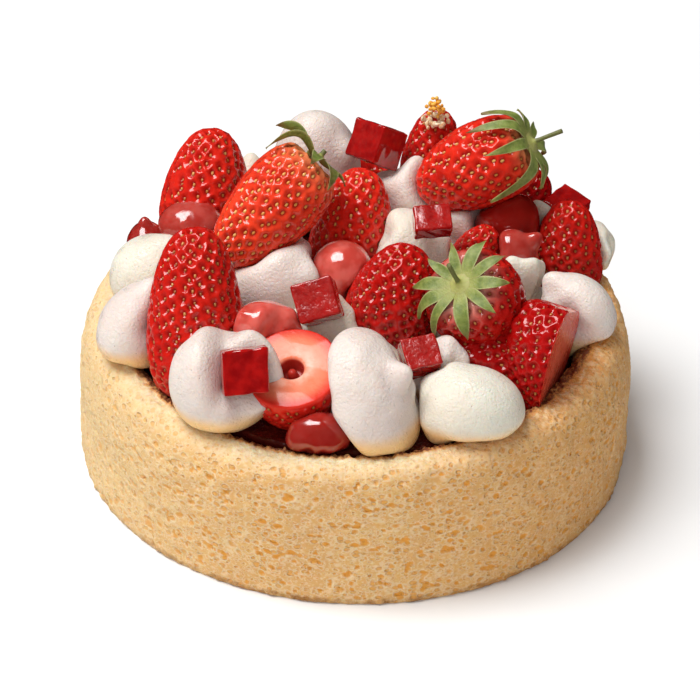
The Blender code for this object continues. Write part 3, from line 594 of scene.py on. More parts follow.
# Strawberries: solid, middle, direction from tip to calyx, length, width, seed spacing, redness from 0 to 1,
# and how far the pale shoulder reaches down from the calyx, as a polar angle.
BERRIES = (
    ("strawberry_top_left", (-25.4, 6.5, 74.2), (0.66, 0.43, 0.62), 41.8, 23.6, 3.3, 0.02, 0.84),
    ("strawberry_top_right", (33.8, 28.0, 77.8), (0.83, -0.12, 0.54), 38.0, 24.6, 3.5, 0.24, 0.60),
    ("strawberry_front_right", (34.7, -22.0, 63.0), (-0.43, -0.51, 0.75), 31.0, 26.4, 3.5, 0.66, 0.66),
    ("strawberry_left", (-45.0, -28.5, 59.5), (0.04, -0.42, -0.90), 50.0, 26.5, 3.4, 0.60, 0.5),
    ("strawberry_left_back", (-46.0, 35.5, 58.5), (-0.08, -0.30, -0.95), 44.0, 26.0, 3.4, 0.42, 0.5),
    ("strawberry_middle_back", (-2.0, 21.0, 58.0), (-0.15, -0.25, -0.95), 38.0, 23.5, 3.2, 0.34, 0.5),
    ("strawberry_middle", (10.5, -13.0, 56.2), (-0.20, -0.05, -0.97), 36.0, 26.0, 3.3, 0.72, 0.5),
    ("strawberry_back", (20.8, 48.0, 68.0), (-0.12, -0.15, -0.98), 31.0, 17.0, 3.0, 0.60, 0.5),
    ("strawberry_right_back", (61.2, 20.0, 53.8), (0.02, -0.10, -0.99), 34.0, 20.0, 3.1, 0.62, 0.5),
    ("strawberry_low_right", (38.5, -31.0, 50.0), (-0.90, 0.25, 0.15), 32.0, 20.0, 3.2, 0.85, 0.3),
    ("strawberry_small", (33.5, 10.0, 57.0), (-0.30, 0.20, -0.93), 26.0, 14.0, 2.8, 0.60, 0.5),
    ("strawberry_dark_back", (48.0, 42.0, 54.5), (-0.40, -0.20, -0.85), 27.0, 17.0, 2.9, 0.95, 0.5),
    ("strawberry_behind", (0.0, 60.5, 50.0), (-0.95, 0.10, 0.15), 28.0, 19.0, 3.1, 0.60, 0.3),
)


def turned_to(direction):
    """The rotation that takes +Z to a direction, as an array."""
    return np.array(Vector(direction).to_track_quat("Z", "Y").to_matrix())


def ripple(direction, seed):
    """A smooth uneven value from -1 to 1 over the directions around a body."""
    x, y, z = np.moveaxis(direction, -1, 0)
    return (np.sin(3.1 * x + 1.3 * seed) + np.sin(3.7 * y + 2.1 * seed) + np.sin(3.3 * z + 2.9 * seed)) / 3.0


def berry_skin(polar, around, length, width, seed):
    """Points of a berry in its own axes. With the polar angle p from the calyx end, the radius is
    width/2 * sin(p)^power * (1 + taper * cos(p)), and the height is length/2 * (cos(p) - a dip at the
    calyx)."""
    radius = width / 2 * np.sin(polar) ** BERRY_POWER * (1.0 + BERRY_TAPER * np.cos(polar))
    height = length / 2 * (np.cos(polar) - CALYX_DIP * np.exp(-(polar / 0.4) ** 2))
    ball = polar_points(np.sin(polar), around, np.cos(polar))
    points = polar_points(radius, around, height)
    return points * (1.0 + 0.035 * ripple(ball, seed))[..., None]


def even_steps(surface, start, stop, count):
    """Values of the first parameter that stand at equal steps along the outline of a surface."""
    value = np.linspace(start, stop, 800)
    line = surface(value, np.zeros_like(value))
    along = np.concatenate([[0.0], np.cumsum(np.linalg.norm(np.diff(line, axis=0), axis=1))])
    return np.interp((np.arange(count) + 0.5) / count * along[-1], along, value)


def seed_places(surface, start, stop, spacing):
    """Both parameters of every seed: equal shares of the skin's area down the fruit, one golden angle
    further round each time."""
    value = np.linspace(start, stop, 800)
    line = surface(value, np.zeros_like(value))
    step = np.linalg.norm(np.diff(line, axis=0), axis=1)
    radius = np.linalg.norm(line[:, :2], axis=1)
    area = np.concatenate([[0.0], np.cumsum(step * math.pi * (radius[1:] + radius[:-1]))])
    count = int(area[-1] / (spacing ** 2 * 0.9))
    order = np.arange(count) + 0.5
    return np.interp(order / count * area[-1], area, value), order * GOLDEN_ANGLE


# %% [markdown]
# A seed is a small almond on the floor of its pit, its long way along the berry. All the seeds of a berry are
# one array: a little ball, stretched, turned into each seed's own three directions and set down.

# %% Pits and seeds
def grid_normals(grid):
    """Outward normals of a grid: the cross product of the step down and the step round."""
    down = np.gradient(grid, axis=0)
    sideways = np.roll(grid, -1, axis=1) - np.roll(grid, 1, axis=1)
    return unit(np.cross(down, sideways))


def pressed_pits(points, normals, seeds, along, depth, width):
    """Skin points moved down round the nearest seed. With q the distance to it, shorter along the berry, the
    skin sinks by depth * exp(-(q/w)^2). Midway between two seeds, where the distances to the nearest and to
    the second nearest are equal, it stands up in a ridge, unless both are far. Returns points and pits."""
    flat = points.reshape(-1, 3)
    gaps = (flat ** 2).sum(axis=1)[:, None] + (seeds ** 2).sum(axis=1) - 2 * flat @ seeds.T
    nearest = gaps.argmin(axis=1)
    first, second = np.sqrt(np.maximum(np.partition(gaps, 1, axis=1)[:, :2], 0)).T
    ridge = np.exp(-((second - first) / (1.1 * width)) ** 2 - (first / (3.4 * width)) ** 4)
    away = flat - seeds[nearest]
    lengthwise = np.einsum("ij,ij->i", away, along[nearest])
    crosswise = np.linalg.norm(away - lengthwise[:, None] * along[nearest], axis=1)
    q = np.hypot(lengthwise / 1.2, crosswise) / width
    pit = np.exp(-q ** 2)
    move = (-depth * pit + 0.5 * depth * ridge).reshape(points.shape[:2])
    return points + normals * move[..., None], pit.reshape(points.shape[:2])


def almond_seeds(places, normals, along, pick, redness):
    """Almond seeds: a ball of 3 rows by 6 columns, narrower at its upper end, placed on every seed point."""
    ball = ball_directions(3, 6, (1.0, 0.0, 0.0))
    almond = ball * (0.60, 0.34, 0.24)
    almond[..., 1] *= 1.0 + 0.35 * ball[..., 0]
    base = closed_grid(almond)
    axes = np.stack([along, np.cross(normals, along), normals], axis=1)
    size = 1.24 - 0.42 * redness + 0.25 * pick[:, None, None]
    spots = places[:, None, :] + (base["points"] * size) @ axes
    count, size = spots.shape[:2]
    steps = (np.arange(count) * size)[:, None, None]
    quads = (base["quads"] + steps).reshape(-1, 4)
    fans = (base["fans"] + steps).reshape(-1, 3)
    values = {"pit": np.repeat(pick, size), "shoulder": np.zeros(count * size),
              "flesh": np.zeros(count * size), "heart": np.zeros(count * size),
              "redness": np.full(count * size, redness)}
    return {"points": spots.reshape(-1, 3), "quads": quads, "fans": fans, "values": values,
            "slots": np.ones(len(quads) + len(fans))}


def fruit_shape(surface, skin_range, seed_range, shape, spacing, redness, seed,
                pale=0.5, cut=None, face=0.0):
    """A fruit from a surface of two parameters: the skin with its pits, and the seeds in them. A cut, given
    as a direction and a distance, presses everything beyond it flat and keeps the seeds away from it. Where
    the first parameter is below face, the surface is cut flesh without pits."""
    rows, columns = shape
    value = even_steps(surface, *skin_range, rows)[:, None] * np.ones((1, columns))
    around = full_turn(columns)[None, :] * np.ones((rows, 1))
    skin = surface(value, around)
    seed_value, seed_around = seed_places(surface, *seed_range, spacing)
    shake = np.random.default_rng(seed + 100)
    seed_around = seed_around + shake.normal(0.0, 0.07, len(seed_around))
    seed_value = np.clip(seed_value + shake.normal(0.0, 0.012, len(seed_value)), *seed_range)
    step = 0.004 * (skin_range[1] - skin_range[0])
    seeds = surface(seed_value, seed_around)
    along = unit(surface(seed_value + step, seed_around) - seeds)
    normals = unit(np.cross(along, surface(seed_value, seed_around + 0.02) - seeds))
    depth = 0.24 * spacing
    on_face = value < face
    pitted, pit = pressed_pits(skin, grid_normals(skin), seeds, along, depth, 0.31 * spacing)
    pitted = np.where(on_face[..., None], skin, pitted)
    # On a cut face the pit value is the depth below the face: dark red down the core hole, partly the drop of
    # juice and partly painted shade in the hole.
    pit = np.where(on_face, np.clip(2.0 * (skin[..., 2].max() - skin[..., 2]) - 1.4, 0, 1), pit)
    flesh = on_face.astype(float)
    from_axis = np.linalg.norm(skin[..., :2], axis=-1)
    heart = np.clip(1.0 - from_axis / from_axis.max(), 0, 1)
    shoulder = np.exp(-(value / pale) ** 2) * (1.0 - flesh)
    keep = np.ones(len(seeds), dtype=bool)
    if cut is not None:
        direction, distance = cut
        over = skin @ direction - distance
        flesh = np.clip(over / 0.8, 0, 1)
        pitted = skin + (pitted - skin) * (1.0 - flesh)[..., None]
        over = pitted @ direction - distance
        pitted = pitted - (0.35 * np.logaddexp(0.0, over / 0.35))[..., None] * direction
        sideways = skin[..., :2] @ unit(direction[:2])
        # The half berry's face keeps only a little pale heart, so it stays a deep pink red: partly its own
        # flesh, partly painted shade, for the face turns away from the light.
        heart = 0.18 * np.clip(sideways / np.maximum(from_axis, 0.1), 0, 1) * flesh
        pit = pit * (1.0 - flesh)
        keep = seeds @ direction < distance - 0.8
    body = closed_grid(pitted, pit=pit, shoulder=shoulder, flesh=flesh, heart=heart,
                       redness=np.full(pit.shape, redness))
    spots = (seeds - normals * (depth - 0.16))[keep]
    almonds = almond_seeds(spots, normals[keep], along[keep], shake.uniform(0, 1, len(spots)), redness)
    return joined(body, almonds)


def set_down(shape, place, axis):
    """A shape turned from +Z to an axis and moved to its place."""
    shape["points"] = shape["points"] @ turned_to(axis).T + np.array(place)
    return shape


# %% The strawberries' finish
def berry_material():
    """Wet red skin: orange red to deep red by the berry's own redness, paler at the calyx, with painted shade
    in the pits; where it is cut, pale flesh with a red rim, and down the core hole a dark red that is partly
    the juice and partly painted shade."""
    material, tree, shader = new_material("strawberry_skin", Specular_IOR_Level=0.12, Coat_Roughness=0.03,
                                          Subsurface_Weight=0.10, Subsurface_Radius=(1.0, 0.10, 0.06),
                                          Subsurface_Scale=1.2 * MM)
    place = coordinates(tree)
    redness, flesh, heart = (attribute(tree, name) for name in ("redness", "flesh", "heart"))
    pit = attribute(tree, "pit")
    under_leaves = mix(tree, remap(tree, redness, 0.2, 0.6), (0.88, 0.31, 0.12), (0.82, 0.38, 0.30))
    blotch = remap(tree, noise(tree, place, 3.4, 3.0), 0.32, 0.72)
    streak = times(tree, remap(tree, heart, 0.30, 0.75), blotch)
    inside = mix(tree, remap(tree, heart, 0.03, 0.36), (0.70, 0.030, 0.016), (0.87, 0.225, 0.115))
    inside = layered(tree, inside,
                     (streak, (0.91, 0.50, 0.37)),
                     # partly the juice, partly painted shade down the core hole
                     (remap(tree, pit, 0.0, 1.0, 0.0, 0.92), (0.42, 0.008, 0.006)))
    colour = mix(tree, remap(tree, redness, 0.0, 0.3), (0.90, 0.058, 0.020), (0.80, 0.026, 0.012))
    colour = layered(tree, colour,
                     (remap(tree, redness, 0.2, 1.0), (0.40, 0.002, 0.003)),
                     (remap(tree, noise(tree, place, 6.0, 2.0), 0.40, 0.70, 0.0, 0.50), (0.46, 0.004, 0.004)),
                     (remap(tree, attribute(tree, "shoulder"), 0.10, 0.9, 0.0, 0.85), under_leaves),
                     # painted shade in the seed pits
                     (remap(tree, pit, 0.25, 0.95, 0.0, 0.75), (0.22, 0.002, 0.002)),
                     (flesh, inside))
    fine = bump(tree, noise(tree, place, 0.55, 3.0), 0.35, 0.14)
    lumpy = remap(tree, redness, 0.0, 0.4, 0.12, 0.6)
    wire(tree, shader, Base_Color=colour, Coat_Weight=remap(tree, flesh, 0.0, 1.0, 0.9, 0.4),
         Roughness=remap(tree, noise(tree, place, 3.0, 2.0), 0.40, 0.62, 0.22, 0.42),
         Normal=bump(tree, noise(tree, place, 1.9, 3.0), lumpy, 0.4, fine))
    return material


def seed_material():
    """Straw yellow to ochre seeds, each a little different, browner on the reddest berries."""
    material, tree, shader = new_material("strawberry_seed", Roughness=0.35, Coat_Weight=0.5,
                                          Coat_Roughness=0.1)
    pick = attribute(tree, "pit")
    bright = mix(tree, pick, (0.80, 0.31, 0.05), (0.90, 0.54, 0.16))
    deep = mix(tree, pick, (0.30, 0.055, 0.018), (0.62, 0.25, 0.07))
    wire(tree, shader,
         Base_Color=mix(tree, remap(tree, attribute(tree, "redness"), 0.05, 0.75, 0.0, 0.9), bright, deep),
         Normal=bump(tree, noise(tree, coordinates(tree), 0.3), 0.4, 0.05))
    return material


BERRY_SKIN, BERRY_SEED = berry_material(), seed_material()
BERRY_PITCH = 0.42         # millimetres between neighbouring points of a strawberry's skin


def berry_grid(length, width):
    """Rows and columns for a berry of this size."""
    return int(1.35 * length / BERRY_PITCH), int(math.pi * width / BERRY_PITCH)


for number, (node, place, axis, length, width, spacing, redness, pale) in enumerate(BERRIES):
    seed = number if number < 3 else number + 1
    whole = fruit_shape(lambda polar, around: berry_skin(polar, around, length, width, seed),
                        (0.0, math.pi), (0.30, math.pi - 0.02), berry_grid(length, width), spacing,
                        redness, seed, pale)
    add_piece(node + "_fruit", set_down(whole, place, axis), [BERRY_SKIN, BERRY_SEED], [node])

# %% [markdown]
# ## The two cut strawberries
# One is cut along its axis and stands at the right with its face in the shade. The other, in front, is the
# wide end of a berry cut across: its face is pale towards the middle with a red rim, and the core has left a
# hole with a drop of juice in it.

# %% The strawberry cut along
HALF_PLACE = (56.0, -33.0, 52.6)
HALF_AXIS = (0.26, 0.45, 0.85)
HALF_LOOKS = (0.93, -0.34, -0.10)
HALF_LENGTH, HALF_WIDTH, HALF_SEED = 33.0, 31.0, 9

half_looks = turned_to(HALF_AXIS).T @ unit(np.array(HALF_LOOKS))
half = fruit_shape(lambda polar, around: berry_skin(polar, around, HALF_LENGTH, HALF_WIDTH, HALF_SEED),
                   (0.0, math.pi), (0.20, math.pi - 0.02), (130, 220), 3.3, 0.85, HALF_SEED,
                   pale=0.24, cut=(half_looks, 1.0))
add_piece("strawberry_half_fruit", set_down(half, HALF_PLACE, HALF_AXIS), [BERRY_SKIN, BERRY_SEED],
          ["strawberry_half"])

# %% The strawberry cut across
CUT_PLACE = (-17.5, -50.0, 58.5)
CUT_LOOKS = (-0.10, -0.32, 0.94)
CUT_RADIUS, CUT_DEPTH, CORE_RADIUS, CORE_DEPTH = 13.6, 20.0, 3.4, 5.0


def cut_surface(value, around):
    """Points of the cut berry: from 0 to 1 out of the core, where a drop of juice stands, over the face to
    the rim, and from 1 to 2 down the skin, where the radius is R * cos(t)^0.7 and the depth D * sin(t)."""
    inner = np.clip(value, 0.0, 1.0)
    radii = [0.0, 0.9, 1.4, 1.8, CORE_RADIUS - 0.6, CORE_RADIUS, CORE_RADIUS + 0.7, CUT_RADIUS * 0.6,
             CUT_RADIUS - 0.4, CUT_RADIUS]
    heights = [-1.3, -1.6, -2.6, -CORE_DEPTH, -CORE_DEPTH + 0.3, -0.9, -0.25, 0.0, -0.05, -0.6]
    knots = [0.0, 0.06, 0.10, 0.16, 0.22, 0.30, 0.34, 0.62, 0.96, 1.0]
    turn = np.clip(value - 1.0, 0.0, 1.0) * math.pi / 2 * 0.9999
    below = value > 1.0
    radius = np.where(below, CUT_RADIUS * np.cos(turn) ** 0.7, np.interp(inner, knots, radii))
    height = np.where(below, -0.6 - (CUT_DEPTH - 0.6) * np.sin(turn), np.interp(inner, knots, heights))
    points = polar_points(radius, around, height + CUT_DEPTH / 2)
    return points * (1.0 + 0.03 * ripple(unit(points), 5))[..., None] - (0.0, 0.0, CUT_DEPTH / 2)


cut = fruit_shape(cut_surface, (0.0, 2.0), (1.06, 1.98), (150, 200), 2.9, 0.45, 5, face=1.0)
add_piece("strawberry_cut_fruit", set_down(cut, CUT_PLACE, CUT_LOOKS), [BERRY_SKIN, BERRY_SEED],
          ["strawberry_cut_across"])

# %% [markdown]
# ## Jelly cubes
# Six cubes cut with a knife from a firm set jelly. A cube is a box shrunk by its edge radius, and every point
# of a lattice on it goes out from there by that radius. The faces are a little uneven, as a knife leaves
# them.

# %% Jelly cubes
CUBE_SIDE, CUBE_EDGE = 13.0, 0.7
# Cubes: name, middle, direction of the upper face, turn in degrees, sides as shares of the cube's side, and
# how dull the upper face has dried, from 0 to 1, which also sets how much painted sheen it carries.
CUBES = (
    ("front_left", (-30.0, -58.0, 62.4), (0.10, -0.84, 0.50), 4.0, (0.97, 0.95, 0.80), 0.05),
    ("middle", (-11.0, -27.5, 65.5), (-0.15, -0.75, 0.64), 24.0, (0.90, 0.86, 0.80), 0.8),
    ("front_right", (17.6, -46.0, 60.5), (0.10, -0.55, 0.83), 8.0, (0.76, 0.72, 0.74), 1.0),
    ("right", (20.8, 4.5, 73.0), (0.05, -0.40, 0.91), 3.0, (0.84, 0.66, 0.42), 0.6),
    ("back", (4.3, 41.0, 76.5), (-0.62, -0.55, 0.56), 10.0, (0.92, 0.90, 0.90), 0.3),
    ("back_right", (61.0, 36.5, 59.0), (0.10, -0.30, 0.95), 32.0, (0.84, 0.80, 0.60), 0.1),
)


def rounded_box(half, radius, steps=30, edge_steps=6):
    """A closed box of quads: the nearest point of the inner box, plus the radius along the way out."""
    lines = []
    for reach in half:
        rim = radius / reach
        lines.append(reach * np.concatenate([np.linspace(-1, rim - 1, edge_steps)[:-1],
                                             np.linspace(rim - 1, 1 - rim, steps),
                                             np.linspace(1 - rim, 1, edge_steps)[1:]]))
    last = len(lines[0]) - 1
    first, second = (part.ravel() for part in np.meshgrid(np.arange(last), np.arange(last), indexing="ij"))
    corners = []
    for axis in range(3):
        for side in (0, last):
            ring = [(0, 0), (1, 0), (1, 1), (0, 1)] if side else [(0, 0), (0, 1), (1, 1), (1, 0)]
            for a, b in ring:
                index = [first + a, second + b, np.full_like(first, side)]
                corners.append(np.stack([index[(place - axis - 1) % 3] for place in range(3)], axis=-1))
    every = np.stack(corners).reshape(6, 4, -1, 3).transpose(0, 2, 1, 3).reshape(-1, 3)
    lattice, quads = np.unique(every, axis=0, return_inverse=True)
    points = np.stack([lines[axis][lattice[:, axis]] for axis in range(3)], axis=1)
    inner = np.clip(points, radius - half, half - radius)
    outward = unit(points - inner)
    return inner + radius * outward, quads.reshape(-1, 4), outward


def cube_shape(middle, looks, turn, shares, frost_sheen_amount, seed):
    """A cube a little out of true, its faces raised and sunk by a fraction of a millimetre."""
    points, quads, normals = rounded_box(CUBE_SIDE * np.array(shares) / 2, CUBE_EDGE)
    x, y, z = points.T
    wave = np.sin(0.9 * x + 0.5 * y + seed) + np.sin(0.8 * y - 0.7 * z + 2 * seed) + np.sin(1.7 * z + 1.3 * x)
    points = points + normals * (0.08 * wave - 0.06)[:, None]
    points[:, :2] *= 1.0 + 0.05 * math.sin(seed) * points[:, 2:] / CUBE_SIDE
    points[:, 0] += 0.06 * math.cos(2.0 * seed) * points[:, 1]
    points = points @ turned_by(turn).T @ turned_to(looks).T + np.array(middle)
    # The upward faces: dried and dull, and painted paler for the sheen of the light above.
    frost_and_sheen = frost_sheen_amount * np.clip(4.0 * normals[:, 2] - 2.6, 0, 1)
    return {"points": points, "quads": quads, "fans": np.zeros((0, 3), dtype=int), "values": {"frost_and_sheen": frost_and_sheen},
            "slots": np.zeros(len(quads))}


def jelly_material():
    """Firm clear dark red jelly with a wet shine. Where a face has dried it is mottled and a little milky; on
    the upward faces that paler colour is also a painted sheen of the light above.
    """
    material, tree, shader = new_material("jelly", Specular_IOR_Level=0.5, Coat_Weight=0.7,
                                          Coat_Roughness=0.04, Subsurface_Weight=0.4,
                                          Subsurface_Radius=(1.0, 0.04, 0.03), Subsurface_Scale=2.0 * MM)
    place = coordinates(tree)
    frost_and_sheen = attribute(tree, "frost_and_sheen")
    colour = mix(tree, remap(tree, noise(tree, place, 3.2, 3.0), 0.3, 0.7),
                 (0.27, 0.003, 0.004), (0.47, 0.008, 0.007))
    mottle = remap(tree, noise(tree, place, 1.5, 3.0), 0.38, 0.68, 0.25, 1.0)
    grainy = remap(tree, frost_and_sheen, 0.0, 1.0, 0.10, 0.8)
    # the dried upward faces, paler also as a painted sheen
    wire(tree, shader, Base_Color=mix(tree, times(tree, frost_and_sheen, mottle), colour, (0.44, 0.034, 0.028)),
         Roughness=remap(tree, frost_and_sheen, 0.0, 1.0, 0.10, 0.24),
         Normal=bump(tree, noise(tree, place, 1.5, 3.0, 0.5), grainy, 0.6))
    return material


JELLY = jelly_material()
for seed, (name, *row) in enumerate(CUBES):
    add_piece(f"cube_{name}", cube_shape(*row, seed), [JELLY], [f"jelly_cube_{name}"])

# %% [markdown]
# ## Drops of berry gel
# Soft drops of a milky berry gel. Their forms come from their solids in the same way as the creams.

# %% Gels
# How milky each drop is, from 0 for a clear dark one to 1.
MILKINESS = {"gel_front_left": 1.0, "gel_middle": 1.0, "gel_left_back": 0.55, "gel_front": 0.15,
             "gel_right": 0.45, "gel_right_back": 0.05, "gel_far_left": 0.2}


def gel_material():
    """Red gel, clear and dark or milky by the drop's own number: a glossy skin over a body that scatters
    red light."""
    material, tree, shader = new_material("gel", Roughness=0.16, Specular_IOR_Level=0.5, Coat_Weight=1.0,
                                          Coat_Roughness=0.03, Subsurface_Weight=0.8,
                                          Subsurface_Radius=(1.0, 0.10, 0.07), Subsurface_Scale=2.4 * MM)
    place = coordinates(tree)
    clear = mix(tree, noise(tree, place, 5.0, 1.0), (0.25, 0.004, 0.002), (0.36, 0.009, 0.005))
    milky = mix(tree, remap(tree, noise(tree, place, 4.0, 2.0), 0.35, 0.65),
                (0.60, 0.075, 0.055), (0.74, 0.150, 0.118))
    wire(tree, shader, Base_Color=mix(tree, attribute(tree, "milk"), clear, milky),
         Normal=bump(tree, noise(tree, place, 3.2, 1.5), 0.35, 0.6))
    return material


GEL = gel_material()
GEL_DETAIL = (70, 96)
for node, milk in MILKINESS.items():
    grid = skin_through(node, *GEL_DETAIL)
    drop = closed_grid(grid, milk=np.full(grid.shape[:2], milk))
    add_piece(node + "_drop", drop, [GEL], [node])

# %% [markdown]
# ## Leaves
# A calyx is a ring of pointed sepals that leave one hub. Each sepal is a strip whose cross-section is a thin
# lens, swept over the berry's shoulder and lifted from it towards the tip. The real ones are all different,
# so each has a row: where it points, how far down the berry it reaches, how wide it is and how high it lifts.

# %% Calyces
LEAF_THICKNESS = 0.8
LEAF_SWELL = 1.035         # the sepals lie over a berry this much larger
LEAF_SEED = 40             # of that berry's unevenness
# Sepals by berry: the way each points in degrees round the berry, the polar angle of its tip, its width, how
# high the tip lifts off the berry and, where it turns over on its way out, by how many radians.
SEPALS = {
    "top_left": ((48, 0.84, 5.0, 5.0, 0.9), (74, 1.08, 6.2, 1.6, 0.8), (132, 0.80, 4.8, 1.5),
                 (172, 0.92, 5.2, 1.5), (222, 0.64, 4.6, 1.5), (275, 0.72, 4.8, 1.8), (330, 0.80, 4.8, 1.8)),
    "top_right": ((10, 0.50, 3.4, 1.0), (50, 0.64, 3.8, 0.8), (86, 1.12, 4.4, 1.0), (112, 1.34, 4.0, 1.0),
                  (150, 1.16, 3.6, 1.8), (202, 1.42, 4.4, 1.4), (234, 0.80, 3.6, 2.4), (266, 0.95, 4.0, 1.6),
                  (318, 0.84, 4.0, 1.8)),
    "front_right": ((170, 0.62, 3.2, 3.0), (204, 1.00, 4.2, 3.0), (232, 1.12, 4.4, 2.0),
                    (260, 1.10, 3.4, 1.4), (306, 0.98, 4.8, 1.4), (350, 0.78, 3.6, 2.2),
                    (26, 0.80, 4.2, 2.4), (60, 0.80, 3.8, 3.0), (96, 0.84, 4.4, 2.4), (134, 0.62, 3.2, 3.0)),
}
# Stems: length, the way the stem leans, and the radius of the disc that it stands on.
STEMS = {"top_left": (3.4, (0.3, -0.2), 3.2), "top_right": (10.0, (0.08, -0.08), 4.6),
         "front_right": (7.5, (-0.25, 0.3), 4.2)}


def sepal_shape(length, berry_width, seed, angle, reach, width, rise, twist=0.0):
    """One sepal: a lens-shaped section swept from the middle of the calyx over the shoulder of the berry.
    Its half width is that of a leaf, broad a third of the way out and drawn to a point, and its two edges
    wave."""
    part = np.linspace(0.0, 1.0, 34)[:, None]
    section = -full_turn(18)
    across, through = np.cos(section), np.sin(section)
    polar = 0.06 + (reach - 0.06) * part
    belly = np.clip(np.sin(math.pi * (0.22 + 0.78 * part)), 0, 1) ** 0.85 * (1 - 0.15 * part)
    half = width / 2 * belly + 0.04
    skin = berry_skin(polar, np.zeros_like(polar), length * LEAF_SWELL, berry_width * LEAF_SWELL, LEAF_SEED)
    skin = skin[:, 0, :]
    normal = np.concatenate([np.sin(polar), 0 * polar, np.cos(polar)], axis=1)
    thinning = 0.30 + 0.70 * np.sqrt(np.maximum(1 - part, 0))
    thick = LEAF_THICKNESS / 2 * thinning * np.sqrt(1 - 0.75 * across ** 2)
    cup = 0.55 * across ** 2 * belly * np.sin(math.pi * part)
    wave = 0.40 * np.sin(8.0 * part + seed + 1.5 * np.sign(across)) * across ** 2 * part
    crease = -0.22 * np.exp(-(across / 0.22) ** 2) * (1 - part)
    lean = twist * np.sin(math.pi / 2 * part)
    off = 1.15 + rise * part ** 2 + cup + wave + crease + thick * through + half * np.abs(np.sin(lean))
    off = off + half * across * np.sin(lean)
    grid = np.empty((len(part), len(section), 3))
    grid[..., 0] = skin[:, :1] + normal[:, :1] * off
    grid[..., 1] = half * across * np.cos(lean) + 0.45 * np.sin(3.5 * part + 1.7 * seed) * part ** 2
    grid[..., 2] = skin[:, 2:] + normal[:, 2:] * off
    along = part * np.ones_like(grid[..., 0])
    return closed_grid(grid @ turned_by(angle).T, along=along, edge=np.abs(across) * np.ones_like(along))


def hub_shape(length, berry_width, stem_length, lean, disc):
    """The middle of the calyx with its stem: a low disc whose radius falls off into a thin leaning stalk."""
    part = np.linspace(1.0, 0.0, 40)[:, None] ** 1.5
    turn = full_turn(28)
    foot = berry_skin(np.array([0.10]), np.zeros(1), length * LEAF_SWELL, berry_width * LEAF_SWELL,
                      LEAF_SEED)[0, 2]
    rise = part * stem_length
    flare = (disc - 1.0) * np.exp(-(rise / 0.75) ** 2) + 0.5 * np.exp(-(rise / 1.8) ** 2)
    radius = (0.55 + 0.15 * part + flare) * (1.0 + 0.09 * np.cos(7 * turn) * np.exp(-rise))
    bend = rise ** 1.3 / max(stem_length, 1.0) ** 0.3
    grid = np.stack([radius * np.cos(turn) + lean[0] * bend, radius * np.sin(turn) + lean[1] * bend,
                     rise + foot + 0.9 + 0 * turn], axis=-1)
    edge = np.clip(2.4 - rise, 0, 1) * np.ones(28)
    return closed_grid(grid, along=np.full(grid.shape[:2], -1.0), edge=edge)


def leaf_material():
    """Sage green with a paler rim and midrib and a yellow green hub, browner at the tips."""
    material, tree, shader = new_material("leaf", Roughness=0.5, Subsurface_Weight=0.2,
                                          Subsurface_Radius=(0.5, 1.0, 0.2), Subsurface_Scale=0.8 * MM)
    place = coordinates(tree)
    along, edge = attribute(tree, "along"), attribute(tree, "edge")
    green = mix(tree, remap(tree, noise(tree, place, 2.2, 3.0), 0.25, 0.80),
                (0.13, 0.18, 0.028), (0.29, 0.335, 0.080))
    tip = times(tree, remap(tree, along, 0.70, 1.0), remap(tree, noise(tree, place, 3.0), 0.4, 0.6))
    stalk = calculate(tree, "SUBTRACT", remap(tree, along, -0.5, -0.9), edge)
    colour = layered(tree, green,
                     (remap(tree, edge, 0.70, 1.0, 0.0, 0.8), (0.46, 0.44, 0.19)),
                     (remap(tree, edge, 0.18, 0.0, 0.0, 0.55), (0.40, 0.44, 0.15)),
                     (remap(tree, along, 0.30, 0.0, 0.0, 0.7), (0.42, 0.42, 0.10)),
                     (tip, (0.20, 0.10, 0.03)),
                     (remap(tree, stalk, 0.2, 0.9), (0.16, 0.165, 0.05)))
    wire(tree, shader, Base_Color=colour, Normal=bump(tree, noise(tree, place, 0.6, 4.0), 0.7, 0.25))
    return material


LEAF = leaf_material()
for node, place, axis, length, width, *_ in BERRIES[:3]:
    name = node.removeprefix("strawberry_")
    sepals = [sepal_shape(length, width, number, *row) for number, row in enumerate(SEPALS[name])]
    leaves = joined(*sepals, hub_shape(length, width, *STEMS[name]))
    add_piece(f"calyx_{name}_leaves", set_down(leaves, place, axis), [LEAF], [f"calyx_{name}"])

# %% [markdown]
# ## The blossom
# On the rear berry sits the head of a tiny flower: a clump of orange stamens above a ring of short petals.

# %% Blossom
BLOSSOM_PLACE = np.array((21.0, 44.5, 85.5))


def small_ball(middle, radii, slot):
    """A small ball, one of many in a flower head."""
    return closed_grid(ball_directions(7, 10) * radii + middle, slot)


def blossom_shape():
    """Anthers on a dome and florets in a ring, drawn from a seeded generator."""
    draw = np.random.default_rng(8)
    shapes = []
    for _ in range(40):
        spot = unit(draw.normal(size=3) + (0, 0, 0.4)) * draw.uniform(1.2, 3.0)
        shapes.append(small_ball(BLOSSOM_PLACE + spot + (0.3, 0, 1.9), draw.uniform(0.4, 0.75, 3), 0))
    for number in range(34):
        turn = number * GOLDEN_ANGLE
        spot = np.array([math.cos(turn), math.sin(turn), 0.0]) * draw.uniform(1.0, 4.6)
        spot = spot + (0, 0, draw.uniform(-3.8, -0.6))
        shapes.append(small_ball(BLOSSOM_PLACE + spot, draw.uniform(0.4, 1.0, 3), 1))
    return joined(*shapes)


def flower_material(name, first, second):
    """Small matt florets or anthers in two near tints."""
    material, tree, shader = new_material(name, Roughness=0.6)
    patches = remap(tree, noise(tree, coordinates(tree), 1.1, 3.0), 0.4, 0.6)
    wire(tree, shader, Base_Color=mix(tree, patches, first, second))
    return material


